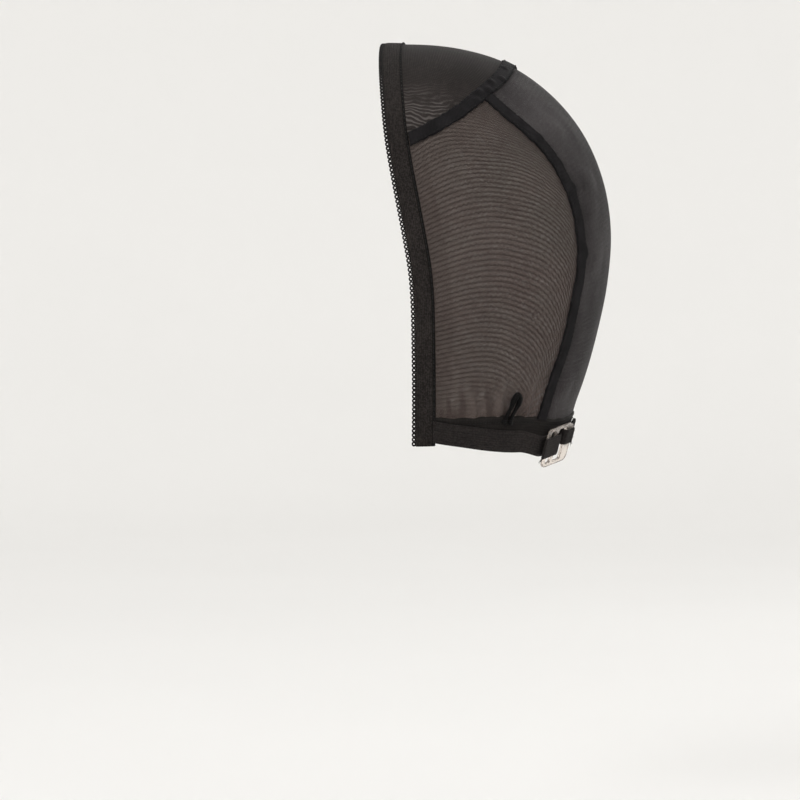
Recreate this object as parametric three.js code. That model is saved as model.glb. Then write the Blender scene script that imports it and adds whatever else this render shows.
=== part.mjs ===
// Wig cap: a stretch cap of knitted mesh panels, edged with elastic and drawn in by two straps
// and a clear slide at the nape.
// Millimetres, +Z up, front towards -Y, the wearer's left towards +X.
// The origin is the top of the head form, where the inside of the crown rests.
import * as THREE from 'three';

// Head form that the cap is cut for, measured from its middle
const headBack = 93;
const headUp = 85.5;
const headHalfWidth = 76;
const headRoundness = 2.1;

// Thickness of each cloth
const meshWall = 1;
const frontBandWall = 1.6;
const napeBandWall = 1;
const tapeWall = 1;
const strapWall = 1;

// Width of each band
const frontBandWide = 10.8;
const napeBandWide = 10;
const crownTapeWide = 6.8;
const backTapeWide = 6.2;
const strapWide = 10;

// Room left between two pieces that touch
const seamGap = 0.3;

// Loop of round cord that stands up from the nape band on each side
const loopCord = 1.8;
const loopTall = 12;
const loopWide = 4.4;
const loopFoot = 3;
const loopRise = 1.2;

// Clear slide that joins the two straps
const slideLong = 23;
const slideTall = 19;
const slideThick = 1.4;
const slideCorner = 4;
const slideRail = 1.9;
const slideLeftBar = 3.4;
const slideLeftSlot = 3.1;
const slideMiddleBar = 2.6;
const slideRightBar = 7;
const slideSlotCorner = 0.7;
const slideTilt = 6;
const slideLean = 8;

// Straps where they pass under the slide and fold back over its bars
const leftStrapReturn = 13;
const rightStrapReturn = 6;
const leftStrapRise = 0.9;
const rightStrapRise = 2.2;
const strapLeave = 14;

// Tallest folds of the mesh: gathers over the nape band, puckers beside the back tapes
const gatherRise = 0.9;
const puckerRise = 0.7;

// How full the side outline of the form is against an ellipse, at each turn round it in degrees:
// 0 is the back of the head, 90 the crown and -90 straight down the neck
const outlineFullness = [
  { turn: -110, full: 2.2 },
  { turn: -90, full: 2.3 },
  { turn: -75, full: 2.08 },
  { turn: -65, full: 1.74 },
  { turn: -58, full: 1.495 },
  { turn: -52, full: 1.35 },
  { turn: -45, full: 1.236 },
  { turn: -30, full: 1.096 },
  { turn: -15, full: 1.025 },
  { turn: 0, full: 1 },
  { turn: 15, full: 0.997 },
  { turn: 30, full: 1.005 },
  { turn: 45, full: 1.012 },
  { turn: 60, full: 1.016 },
  { turn: 75, full: 1.005 },
  { turn: 90, full: 1 },
  { turn: 100, full: 1.013 },
  { turn: 120, full: 1.03 },
];

// How wide the form is against its full width, at each slope in degrees below or above its middle
const neckNarrowing = [
  { slope: -90, narrow: 0.8 },
  { slope: -60, narrow: 0.87 },
  { slope: -45, narrow: 0.94 },
  { slope: -30, narrow: 0.985 },
  { slope: -15, narrow: 1 },
  { slope: 0, narrow: 1 },
  { slope: 90, narrow: 1 },
];

// Seams as they lie on the left side of the form, as shares of headBack and headUp from its middle.
// A last row beyond the outline lies on the centre line.
const frontEdgeRows = [
  { back: 0.044, up: -1.165 },
  { back: 0.05, up: -0.92 },
  { back: 0.052, up: -0.66 },
  { back: 0.049, up: -0.4 },
  { back: 0.037, up: -0.24 },
  { back: 0.004, up: -0.03 },
  { back: -0.033, up: 0.175 },
  { back: -0.079, up: 0.44 },
  { back: -0.107, up: 0.66 },
  { back: -0.13, up: 0.86 },
  { back: -0.142, up: 0.985 },
  { back: -0.145, up: 1.03 },
];
const crownSeamRows = [
  { back: 0.05, up: 0.44 },
  { back: 0.102, up: 0.472 },
  { back: 0.186, up: 0.524 },
  { back: 0.28, up: 0.592 },
  { back: 0.384, up: 0.697 },
  { back: 0.46, up: 0.786 },
  { back: 0.515, up: 0.93 },
];
const backSeamRows = [
  { back: 0.384, up: 0.697 },
  { back: 0.485, up: 0.599 },
  { back: 0.601, up: 0.493 },
  { back: 0.693, up: 0.391 },
  { back: 0.755, up: 0.288 },
  { back: 0.801, up: 0.185 },
  { back: 0.831, up: 0.082 },
  { back: 0.848, up: -0.021 },
  { back: 0.856, up: -0.14 },
  { back: 0.851, up: -0.24 },
  { back: 0.827, up: -0.386 },
  { back: 0.786, up: -0.595 },
  { back: 0.723, up: -0.805 },
  { back: 0.659, up: -1.03 },
];
const napeSeamRows = [
  { back: 0.17, up: -1.024 },
  { back: 0.327, up: -1.025 },
  { back: 0.471, up: -1.016 },
  { back: 0.614, up: -1.022 },
  { back: 0.659, up: -1.03 },
  { back: 0.775, up: -1.031 },
  { back: 0.85, up: -1.052 },
];

// Middle of each strap on its own side of the form, before it meets the slide
const leftStrapRows = [
  { back: 0.166, up: -1.089 },
  { back: 0.322, up: -1.116 },
  { back: 0.463, up: -1.137 },
  { back: 0.56, up: -1.141 },
];
const rightStrapRows = [
  { back: 0.166, up: -1.089 },
  { back: 0.322, up: -1.116 },
  { back: 0.463, up: -1.132 },
  { back: 0.6, up: -1.128 },
  { back: 0.71, up: -1.117 },
  { back: 0.78, up: -1.106 },
  { back: 0.84, up: -1.158 },
];
const slidePlace = { back: 0.712, up: -1.162 };
const loopPlace = { back: 0.505, up: -1.017 };

// Gathers of the side panel over the nape band: where along the seam from the front, their half
// width as a share of it, their height as a share of gatherRise and how far up the panel they reach
const sideGathers = [
  { along: 0.18, wide: 0.05, tall: 0.45, reach: 0.16 },
  { along: 0.33, wide: 0.05, tall: 0.72, reach: 0.22 },
  { along: 0.43, wide: 0.04, tall: 0.6, reach: 0.18 },
  { along: 0.53, wide: 0.045, tall: 1, reach: 0.26 },
  { along: 0.8, wide: 0.04, tall: 1, reach: 0.28 },
  { along: 0.88, wide: 0.03, tall: 0.8, reach: 0.24 },
];

// Puckers of the back panel beside the back tapes: how far down the seam, their half height as a
// share of it, how far they stand out as a share of puckerRise and how far across they reach from
// where they start
const puckerStart = 0.05;
const backPuckers = [
  { down: 0.2, wide: 0.045, tall: 0.6, reach: 0.2 },
  { down: 0.36, wide: 0.05, tall: 1, reach: 0.24 },
  { down: 0.43, wide: 0.04, tall: 0.7, reach: 0.2 },
  { down: 0.56, wide: 0.06, tall: 0.7, reach: 0.22 },
  { down: 0.9, wide: 0.06, tall: 0.85, reach: 0.2 },
];

// Bumps of the back edge of each back tape: how far down it, their half length as a share of it
// and how far they stand out as a share of its width
const tapeBumps = [
  { down: 0.182, long: 0.022, out: 0.16 },
  { down: 0.272, long: 0.02, out: 0.12 },
  { down: 0.346, long: 0.022, out: 0.28 },
  { down: 0.524, long: 0.03, out: 0.26 },
  { down: 0.78, long: 0.03, out: 0.1 },
];

// Path of the loop's cord as shares of loopWide and loopTall from the middle of its feet
const loopRows = [
  { across: -0.43, rise: 0 },
  { across: -0.25, rise: 0.25 },
  { across: -0.02, rise: 0.5 },
  { across: 0.1, rise: 0.74 },
  { across: 0.42, rise: 0.93 },
  { across: 0.74, rise: 0.82 },
  { across: 0.78, rise: 0.6 },
  { across: 0.5, rise: 0.33 },
  { across: 0.2, rise: 0 },
];

// Cells along and across each piece
const sidePanelCells = { along: 27, across: 17 };
const backPanelCells = { along: 18, across: 23 };
const crownPanelCells = { along: 26, across: 7 };
const frontBandCells = { along: 58, across: 3 };
const napeBandCells = { along: 36, across: 2 };
const crownTapeCells = { along: 36, across: 2 };
const backTapeCells = { along: 40, across: 2 };
const strapRunCells = 24;
const strapTurnCells = 6;
const strapPlyCells = 3;
const loopArcSteps = 4;
const loopSteps = 28;
const slideArcSteps = 2;

const middle = new THREE.Vector3(0, 0, -headUp);
const { degToRad, radToDeg, clamp, smoothstep, lerp } = THREE.MathUtils;

// Reads a table at any value of its key, on a smooth curve through its rows
function tableAt(rows, key, value, at) {
  const last = rows.length - 1;
  const spot = clamp(at, rows[0][key], rows[last][key]);
  let low = 0;
  while (low < last - 1 && rows[low + 1][key] < spot) {
    low += 1;
  }
  const slope = (index) => {
    const before = rows[Math.max(index - 1, 0)];
    const after = rows[Math.min(index + 1, last)];
    return (after[value] - before[value]) / (after[key] - before[key]);
  };
  const start = rows[low];
  const end = rows[low + 1];
  const step = end[key] - start[key];
  const part = (spot - start[key]) / step;
  const ease = part * part * (3 - 2 * part);
  const leave = part * (1 - part) ** 2 * step * slope(low);
  const arrive = part * part * (1 - part) * step * slope(low + 1);
  return lerp(start[value], end[value], ease) + leave - arrive;
}

// The head form
function turnOf(line) {
  return radToDeg(Math.atan2(line.z, line.y));
}

function outlineReach(turn) {
  const angle = degToRad(turn);
  const ellipse = 1 / Math.hypot(Math.cos(angle) / headBack, Math.sin(angle) / headUp);
  return ellipse * tableAt(outlineFullness, 'turn', 'full', turn);
}

function halfWidthAt(line) {
  const slope = radToDeg(Math.asin(line.z / line.length()));
  return headHalfWidth * tableAt(neckNarrowing, 'slope', 'narrow', slope);
}

function ontoForm(point) {
  const line = point.clone().sub(middle).normalize();
  const sideways = Math.abs(line.x) / halfWidthAt(line);
  const lengthways = Math.hypot(line.y, line.z) / outlineReach(turnOf(line));
  const total = sideways ** headRoundness + lengthways ** headRoundness;
  return line.multiplyScalar(total ** (-1 / headRoundness)).add(middle);
}

function formNormal(point) {
  const nudge = 0.05;
  const line = point.clone().sub(middle).normalize();
  const sideways = Math.abs(line.x) > Math.abs(line.z);
  const helper = sideways ? new THREE.Vector3(0, 0, 1) : new THREE.Vector3(1, 0, 0);
  const first = line.clone().cross(helper).normalize();
  const second = line.clone().cross(first);
  const slopeAlong = (way) => {
    const ahead = ontoForm(point.clone().addScaledVector(way, nudge));
    return ahead.sub(ontoForm(point.clone().addScaledVector(way, -nudge)));
  };
  const normal = slopeAlong(first).cross(slopeAlong(second)).normalize();
  return normal.dot(line) < 0 ? normal.negate() : normal;
}

function lifted(point, lift) {
  return point.clone().addScaledVector(formNormal(point), lift);
}

// The point of the form's left side that is seen at a place in side view
function placeOnForm({ back, up }) {
  const place = new THREE.Vector3(0, back * headBack, up * headUp);
  const share = place.length() / outlineReach(turnOf(place));
  const inward = Math.max(1 - share ** headRoundness, 0) ** (1 / headRoundness);
  const rounds = 8;
  for (let round = 0; round < rounds; round += 1) {
    place.x = inward * halfWidthAt(place);
  }
  return ontoForm(place.add(middle));
}

function mirrored(point) {
  return new THREE.Vector3(-point.x, point.y, point.z);
}

// Lines on the form: each gives the point at a share of its length
function lineThrough(points) {
  const curve = new THREE.CatmullRomCurve3(points, false, 'centripetal');
  curve.arcLengthDivisions = 600;
  return (share) => {
    const within = clamp(share, 0, 1);
    const point = curve.getPointAt(within);
    const beyond = curve.getTangentAt(within).multiplyScalar((share - within) * curve.getLength());
    return ontoForm(point.add(beyond));
  };
}

function lineAcrossHead(leftPoints) {
  const rightPoints = leftPoints.slice(0, -1).map(mirrored).reverse();
  return lineThrough([...leftPoints, ...rightPoints]);
}

function waysAlong(line, share) {
  const step = 0.004;
  const point = line(share);
  const ahead = line(share + step).sub(line(share - step)).normalize();
  const normal = formNormal(point);
  const across = ahead.clone().cross(normal).normalize();
  return { point, ahead, across, normal };
}

function alongside(line, distance) {
  return (share) => {
    const { point, across } = waysAlong(line, share);
    return ontoForm(point.addScaledVector(across, distance));
  };
}

function between(line, from, to) {
  return (share) => line(lerp(from, to, share));
}

function lengthOf(line, steps = 120) {
  let total = 0;
  for (let step = 0; step < steps; step += 1) {
    total += line(step / steps).distanceTo(line((step + 1) / steps));
  }
  return total;
}

// The share at which a line passes closest to a point
function shareNearest(line, point) {
  const steps = 1200;
  let best = 0;
  let nearest = Infinity;
  for (let step = 0; step <= steps; step += 1) {
    const distance = line(step / steps).distanceTo(point);
    if (distance < nearest) {
      nearest = distance;
      best = step / steps;
    }
  }
  return best;
}

// Keeps what a function gave for each key, so that it is worked out once
function remembered(work) {
  const known = new Map();
  return (key) => {
    if (!known.has(key)) {
      known.set(key, work(key));
    }
    return known.get(key);
  };
}

function evenly(from, to, cells) {
  return Array.from({ length: cells + 1 }, (_, index) => lerp(from, to, index / cells));
}

// Closed walls between an inner and an outer grid of points, each a list of rows
function closedWall(inner, outer) {
  const rows = inner.length;
  const columns = inner[0].length;
  const points = [...inner.flat(), ...outer.flat()];
  const at = (row, column, side) => side * rows * columns + row * columns + column;
  const faces = [];
  const addQuad = (a, b, c, d) => {
    faces.push([a, b, c], [a, c, d]);
  };
  for (let row = 0; row < rows - 1; row += 1) {
    for (let column = 0; column < columns - 1; column += 1) {
      const corners = [[row, column], [row + 1, column], [row + 1, column + 1], [row, column + 1]];
      addQuad(...corners.map(([r, c]) => at(r, c, 1)));
      addQuad(...corners.reverse().map(([r, c]) => at(r, c, 0)));
    }
  }
  const addRim = (from, to) => {
    addQuad(at(...from, 0), at(...to, 0), at(...to, 1), at(...from, 1));
  };
  for (let row = 0; row < rows - 1; row += 1) {
    addRim([row, 0], [row + 1, 0]);
    addRim([row + 1, columns - 1], [row, columns - 1]);
  }
  for (let column = 0; column < columns - 1; column += 1) {
    addRim([0, column + 1], [0, column]);
    addRim([rows - 1, column], [rows - 1, column + 1]);
  }
  return bodyFrom(points, faces);
}

function bodyFrom(points, faces) {
  const corners = faces.map((face) => face.map((index) => points[index]));
  const volume = corners.reduce((sum, [a, b, c]) => sum + a.dot(b.clone().cross(c)), 0);
  const outward = volume < 0 ? faces.map(([a, b, c]) => [a, c, b]) : faces;
  const geometry = new THREE.BufferGeometry();
  const positions = points.flatMap((point) => point.toArray());
  geometry.setAttribute('position', new THREE.Float32BufferAttribute(positions, 3));
  geometry.setIndex(outward.flat());
  geometry.computeVertexNormals();
  return geometry;
}

function grid(cells, pointAt) {
  const rows = [];
  for (let row = 0; row <= cells.along; row += 1) {
    const line = [];
    for (let column = 0; column <= cells.across; column += 1) {
      line.push(pointAt(row / cells.along, column / cells.across));
    }
    rows.push(line);
  }
  return rows;
}

// A cloth wall that lies on the form, from one height above it to another.
// extraLift adds folds where the cloth stands off the head.
function wallOnForm(cells, pointAt, low, high, extraLift = () => 0) {
  const layer = (height) => grid(cells, (along, across) => (
    lifted(pointAt(along, across), height + extraLift(along, across))
  ));
  return closedWall(layer(low), layer(high));
}

// A flat ribbon along a line on the form, from one side offset to another
function ribbonOnForm(cells, line, fromSide, toSide, low, high) {
  const pointAt = (along, across) => {
    const side = lerp(fromSide(along), toSide(along), across);
    return alongside(line, side)(along);
  };
  return wallOnForm(cells, pointAt, low, high);
}

// A patch filled in between four lines: near and far run along it, start and end join them
function patchBetween({ near, far, start, end }) {
  return (along, across) => {
    const blend = new THREE.Vector3();
    blend.addScaledVector(near(along), 1 - across).addScaledVector(far(along), across);
    blend.addScaledVector(start(across), 1 - along).addScaledVector(end(across), along);
    blend.addScaledVector(near(0), -(1 - along) * (1 - across));
    blend.addScaledVector(near(1), -along * (1 - across));
    blend.addScaledVector(far(0), -(1 - along) * across);
    blend.addScaledVector(far(1), -along * across);
    return ontoForm(blend);
  };
}

// The same patch, held back from each of its sides by that side's own room
function insetPatch(sides, room) {
  const patchSteps = 8;
  const patch = patchBetween(sides);
  const alongLength = remembered((across) => lengthOf((share) => patch(share, across), patchSteps));
  const acrossLength = remembered((along) => lengthOf((share) => patch(along, share), patchSteps));
  const shareWithin = (share, long, first, last) => lerp(first / long, 1 - last / long, share);
  return (along, across) => patch(
    shareWithin(along, alongLength(across), room.start, room.end),
    shareWithin(across, acrossLength(along), room.near, room.far),
  );
}

// A ridge of cloth: full height at its middle, flat at its edges
function ridge(distance, halfWidth) {
  const part = clamp(Math.abs(distance) / halfWidth, 0, 1);
  return (1 - part * part) ** 2;
}

// Seams and edges of the whole cap
const frontEdge = lineAcrossHead(frontEdgeRows.map(placeOnForm));
const bandRear = alongside(frontEdge, frontBandWide);
const crownJoin = shareNearest(bandRear, placeOnForm(crownSeamRows[0]));
const napeJoin = shareNearest(bandRear, placeOnForm(napeSeamRows[0]));
const crownSeam = lineAcrossHead([bandRear(crownJoin), ...crownSeamRows.slice(1).map(placeOnForm)]);
const napeSeam = lineAcrossHead([bandRear(napeJoin), ...napeSeamRows.slice(1).map(placeOnForm)]);
const backTop = shareNearest(crownSeam, placeOnForm(backSeamRows[0]));
const backFoot = shareNearest(napeSeam, placeOnForm(backSeamRows.at(-1)));
const backSeam = lineThrough([
  crownSeam(backTop),
  ...backSeamRows.slice(1, -1).map(placeOnForm),
  napeSeam(backFoot),
]);
const rightBackSeam = (share) => mirrored(backSeam(share));

// How far a point of the form lies behind the front band
const bandStopCount = 400;
const bandRearStops = evenly(0, 1, bandStopCount).map((share) => waysAlong(bandRear, share));

function behindBand(point) {
  const distances = bandRearStops.map((stop) => stop.point.distanceTo(point));
  const nearest = bandRearStops[distances.indexOf(Math.min(...distances))];
  return point.clone().sub(nearest.point).dot(nearest.across);
}

// The share at which a line that runs away from the front band has room enough behind it
function shareClearOfBand(line) {
  let close = -0.05;
  let clear = 0.2;
  const halvings = 14;
  for (let halving = 0; halving < halvings; halving += 1) {
    const half = (close + clear) / 2;
    if (behindBand(line(half)) < seamGap) {
      close = half;
    } else {
      clear = half;
    }
  }
  return clear;
}

// A ribbon from the front band's one side to its other, with its ends cut along that band
function ribbonBetweenBandSides(cells, line, fromSide, toSide, low, high) {
  const sideLine = remembered((side) => alongside(line, side));
  const startOf = remembered((side) => shareClearOfBand(sideLine(side)));
  const pointAt = (along, across) => {
    const side = lerp(fromSide, toSide, across);
    return sideLine(side)(lerp(startOf(side), 1 - startOf(side), along));
  };
  return wallOnForm(cells, pointAt, low, high);
}

// Heights of the layers above the form
const tapeLow = meshWall + seamGap;
const tapeHigh = tapeLow + tapeWall;
const strapLow = napeBandWall + seamGap;
const strapMiddle = strapLow + strapWall / 2;
const plyRadius = slideThick / 2 + seamGap + strapWall / 2;
const slideHeight = strapMiddle + plyRadius;

// Mesh panels
function sidePanel() {
  const pointAt = insetPatch({
    near: between(napeSeam, 0, backFoot),
    far: between(crownSeam, 0, backTop),
    start: between(bandRear, napeJoin, crownJoin),
    end: (share) => backSeam(1 - share),
  }, { near: seamGap, far: seamGap / 2, start: seamGap, end: seamGap / 2 });
  const gathers = (along, across) => sideGathers.reduce((sum, fold) => (
    sum + fold.tall * gatherRise * ridge(along - fold.along, fold.wide) * ridge(across, fold.reach)
  ), 0);
  return wallOnForm(sidePanelCells, pointAt, 0, meshWall, gathers);
}

function backPanel() {
  const pointAt = insetPatch({
    near: between(napeSeam, backFoot, 1 - backFoot),
    far: between(crownSeam, backTop, 1 - backTop),
    start: (share) => backSeam(1 - share),
    end: (share) => rightBackSeam(1 - share),
  }, { near: seamGap, far: seamGap / 2, start: seamGap / 2, end: seamGap / 2 });
  const puckers = (along, across) => backPuckers.reduce((sum, fold) => {
    const fromTape = Math.min(along, 1 - along);
    const fade = ridge(fromTape - puckerStart - fold.reach / 2, fold.reach / 2);
    return sum + fold.tall * puckerRise * ridge(1 - across - fold.down, fold.wide) * fade;
  }, 0);
  return wallOnForm(backPanelCells, pointAt, 0, meshWall, puckers);
}

function crownPanel() {
  const tip = 0.012;
  const front = between(bandRear, crownJoin, 1 - crownJoin);
  const straightAcross = (share) => (across) => (
    ontoForm(front(share).lerp(crownSeam(share), across))
  );
  const pointAt = insetPatch({
    near: between(front, tip, 1 - tip),
    far: between(crownSeam, tip, 1 - tip),
    start: straightAcross(tip),
    end: straightAcross(1 - tip),
  }, { near: seamGap, far: seamGap / 2, start: 0, end: 0 });
  return wallOnForm(crownPanelCells, pointAt, 0, meshWall);
}

// Bands and tapes
function frontBand() {
  return ribbonOnForm(frontBandCells, frontEdge, () => 0, () => frontBandWide, 0, frontBandWall);
}

function napeBand() {
  return ribbonBetweenBandSides(napeBandCells, napeSeam, 0, napeBandWide, 0, napeBandWall);
}

function crownTape() {
  const half = crownTapeWide / 2;
  return ribbonBetweenBandSides(crownTapeCells, crownSeam, -half, half, tapeLow, tapeHigh);
}

function backTape() {
  const long = lengthOf(backSeam);
  const room = crownTapeWide / 2 + seamGap;
  const line = between(backSeam, (room + backTapeWide / 2) / long, 1);
  const half = backTapeWide / 2;
  const backEdge = (along) => tapeBumps.reduce((edge, bump) => (
    edge - bump.out * backTapeWide * ridge(along - bump.down, bump.long)
  ), -half);
  return ribbonOnForm(backTapeCells, line, backEdge, () => half, tapeLow, tapeHigh);
}

// The slide's own directions: along it towards the wearer's right, up its bars, and out
const slideFrame = (() => {
  const seat = placeOnForm(slidePlace);
  const out = formNormal(seat);
  const level = new THREE.Vector3(0, 0, 1).cross(out).normalize();
  const rise = out.clone().cross(level);
  const tilt = degToRad(slideTilt);
  const along = level.clone().multiplyScalar(Math.cos(tilt)).addScaledVector(rise, Math.sin(tilt));
  const centre = seat.addScaledVector(out, slideHeight);
  const face = out.clone().applyAxisAngle(along, degToRad(slideLean));
  const up = face.clone().cross(along).normalize();
  return new THREE.Matrix4().makeBasis(along, up, face).setPosition(centre);
})();

function onSlide(along, up, out) {
  return new THREE.Vector3(along, up, out).applyMatrix4(slideFrame);
}

function roundedOblong(target, left, right, low, high, corner) {
  const turns = [
    { x: right - corner, y: low + corner, start: -Math.PI / 2 },
    { x: right - corner, y: high - corner, start: 0 },
    { x: left + corner, y: high - corner, start: Math.PI / 2 },
    { x: left + corner, y: low + corner, start: Math.PI },
  ];
  for (const turn of turns) {
    target.absarc(turn.x, turn.y, corner, turn.start, turn.start + Math.PI / 2, false);
  }
  return target;
}

const leftSlotStart = slideLeftBar - slideLong / 2;
const middleBarStart = leftSlotStart + slideLeftSlot;
const rightSlot = { from: middleBarStart + slideMiddleBar, to: slideLong / 2 - slideRightBar };
const slideSlots = [{ from: leftSlotStart, to: middleBarStart }, rightSlot];

function slide() {
  const halfLong = slideLong / 2;
  const halfTall = slideTall / 2;
  const shape = new THREE.Shape();
  const outline = roundedOblong(shape, -halfLong, halfLong, -halfTall, halfTall, slideCorner);
  const slotTop = halfTall - slideRail;
  outline.holes = slideSlots.map(({ from, to }) => (
    roundedOblong(new THREE.Path(), from, to, -slotTop, slotTop, slideSlotCorner)
  ));
  const geometry = new THREE.ExtrudeGeometry(outline, {
    depth: slideThick,
    bevelEnabled: false,
    curveSegments: slideArcSteps,
  });
  geometry.translate(0, 0, -slideThick / 2);
  return geometry.applyMatrix4(slideFrame);
}

// A strap runs from the front band over the nape band and under one end of the slide, turns up
// through a slot round the bar beside it and lies back over that bar. facing is -1 for the left
// strap and 1 for the right one, which comes to the slide from its other end.
function strap({ rows, facing, place, barEdge, slideUp, returned }) {
  const slideEnd = facing * (slideLong / 2 + seamGap);
  const line = lineThrough([...rows.map(place), ontoForm(onSlide(slideEnd, slideUp, 0))]);
  const startOf = remembered((side) => shareClearOfBand(alongside(line, facing * side)));
  const runLength = lengthOf(line);
  const lowerPly = Math.abs(slideEnd - barEdge);
  const turnLength = Math.PI * plyRadius;

  const onRun = (travel, side) => {
    const share = lerp(startOf(side), 1, travel / runLength);
    const { point, across } = waysAlong(line, share);
    const onHead = lifted(ontoForm(point.addScaledVector(across, facing * side)), strapMiddle);
    const rest = runLength - travel;
    const underSlide = onSlide(slideEnd + facing * rest, slideUp + side, -plyRadius);
    return onHead.lerp(underSlide, smoothstep(strapLeave - rest, 0, strapLeave));
  };
  const onPly = (travel, side) => {
    const past = travel - runLength;
    if (past < lowerPly) {
      return onSlide(slideEnd - facing * past, slideUp + side, -plyRadius);
    }
    if (past < lowerPly + turnLength) {
      const angle = (past - lowerPly) / plyRadius;
      const along = barEdge - facing * plyRadius * Math.sin(angle);
      return onSlide(along, slideUp + side, -plyRadius * Math.cos(angle));
    }
    const back = past - lowerPly - turnLength;
    return onSlide(barEdge + facing * back, slideUp + side, plyRadius);
  };
  const turnStart = runLength + lowerPly;
  const turnEnd = turnStart + turnLength;
  const stops = [
    ...evenly(0, runLength, strapRunCells),
    ...evenly(runLength, turnStart, strapPlyCells).slice(1),
    ...evenly(turnStart, turnEnd, strapTurnCells).slice(1),
    ...evenly(turnEnd, turnEnd + returned, strapPlyCells).slice(1),
  ];
  const sides = [-strapWide / 2, 0, strapWide / 2];
  const centre = stops.map((travel) => sides.map((side) => (
    travel < runLength ? onRun(travel, side) : onPly(travel, side)
  )));
  return thickened(centre, strapWall);
}

// A closed wall of even thickness about a grid of points
function thickened(centre, thickness) {
  const lastRow = centre.length - 1;
  const lastColumn = centre[0].length - 1;
  const shifted = (distance) => centre.map((line, row) => line.map((point, column) => {
    const ahead = centre[Math.min(row + 1, lastRow)][column].clone();
    ahead.sub(centre[Math.max(row - 1, 0)][column]);
    const aside = line[Math.min(column + 1, lastColumn)].clone();
    aside.sub(line[Math.max(column - 1, 0)]);
    const out = ahead.cross(aside).normalize();
    return point.clone().addScaledVector(out, distance);
  }));
  return closedWall(shifted(-thickness / 2), shifted(thickness / 2));
}

function leftStrap() {
  return strap({
    rows: leftStrapRows,
    facing: -1,
    place: placeOnForm,
    barEdge: rightSlot.from,
    slideUp: leftStrapRise,
    returned: leftStrapReturn,
  });
}

function rightStrap() {
  return strap({
    rows: rightStrapRows,
    facing: 1,
    place: (row) => mirrored(placeOnForm(row)),
    barEdge: rightSlot.to,
    slideUp: rightStrapRise,
    returned: rightStrapReturn,
  });
}

// The loop's cord lies over the nape band at its feet and stands clear of the mesh above it
function strapLoop() {
  const share = shareNearest(napeSeam, placeOnForm(loopPlace));
  const { point, ahead, across } = waysAlong(napeSeam, share);
  const footHeight = strapLow + loopCord / 2;
  const cordPoint = (aside, rise, height) => {
    const place = point.clone().addScaledVector(ahead, aside).addScaledVector(across, -rise);
    return lifted(ontoForm(place), height);
  };
  const standing = loopRows.map((row) => cordPoint(
    row.across * loopWide,
    row.rise * loopTall,
    footHeight + loopRise * row.rise,
  ));
  const first = loopRows[0].across * loopWide;
  const last = loopRows.at(-1).across * loopWide;
  const path = new THREE.CatmullRomCurve3([
    cordPoint(first, -loopFoot, footHeight),
    ...standing,
    cordPoint(last, -loopFoot, footHeight),
  ], false, 'centripetal');
  const section = new THREE.Shape();
  section.absarc(0, 0, loopCord / 2, 0, 2 * Math.PI, false);
  return new THREE.ExtrudeGeometry(section, {
    extrudePath: path,
    steps: loopSteps,
    curveSegments: loopArcSteps,
    bevelEnabled: false,
  });
}

function mirroredGeometry(geometry) {
  const plain = geometry.index ? geometry.toNonIndexed() : geometry.clone();
  const places = plain.getAttribute('position');
  const points = [];
  for (let index = 0; index < places.count; index += 1) {
    points.push(mirrored(new THREE.Vector3().fromBufferAttribute(places, index)));
  }
  const faces = [];
  for (let index = 0; index < points.length; index += 3) {
    faces.push([index, index + 1, index + 2]);
  }
  return bodyFrom(points, faces);
}

// Finishes
const sheerMesh = { color: 0x3b3533, roughness: 0.85, metalness: 0 };
const denseMesh = { color: 0x252323, roughness: 0.8, metalness: 0 };
const elastic = { color: 0x171616, roughness: 0.9, metalness: 0 };
const satinTape = { color: 0x1a1b20, roughness: 0.7, metalness: 0 };
const cord = { color: 0x121212, roughness: 0.8, metalness: 0 };
const clearPlastic = {
  color: 0xd9cdbf,
  roughness: 0.15,
  metalness: 0,
  transparent: true,
  opacity: 0.5,
};

function piece(name, geometry, finish) {
  const mesh = new THREE.Mesh(geometry, new THREE.MeshStandardMaterial(finish));
  mesh.name = name;
  return mesh;
}

const cap = new THREE.Group();
const leftSide = sidePanel();
const leftBackTape = backTape();
const leftLoop = strapLoop();
cap.add(
  piece('crown_panel', crownPanel(), denseMesh),
  piece('side_panel_left', leftSide, sheerMesh),
  piece('side_panel_right', mirroredGeometry(leftSide), sheerMesh),
  piece('back_panel', backPanel(), sheerMesh),
  piece('front_band', frontBand(), elastic),
  piece('nape_band', napeBand(), denseMesh),
  piece('crown_tape', crownTape(), satinTape),
  piece('back_tape_left', leftBackTape, satinTape),
  piece('back_tape_right', mirroredGeometry(leftBackTape), satinTape),
  piece('strap_left', leftStrap(), elastic),
  piece('strap_right', rightStrap(), elastic),
  piece('strap_loop_left', leftLoop, cord),
  piece('strap_loop_right', mirroredGeometry(leftLoop), cord),
  piece('strap_slide', slide(), clearPlastic),
);

export default cap;
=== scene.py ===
"""Looks of the wig cap: sheer knitted panels, elastic bands, seam tapes, straps and a clear slide.

Metres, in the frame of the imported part: +Z up, front towards -Y, the wearer's left towards +X,
with the origin at the top of the head inside the crown.
"""

import logging
import math
from dataclasses import dataclass, field
from enum import Enum
from typing import Sequence

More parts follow.
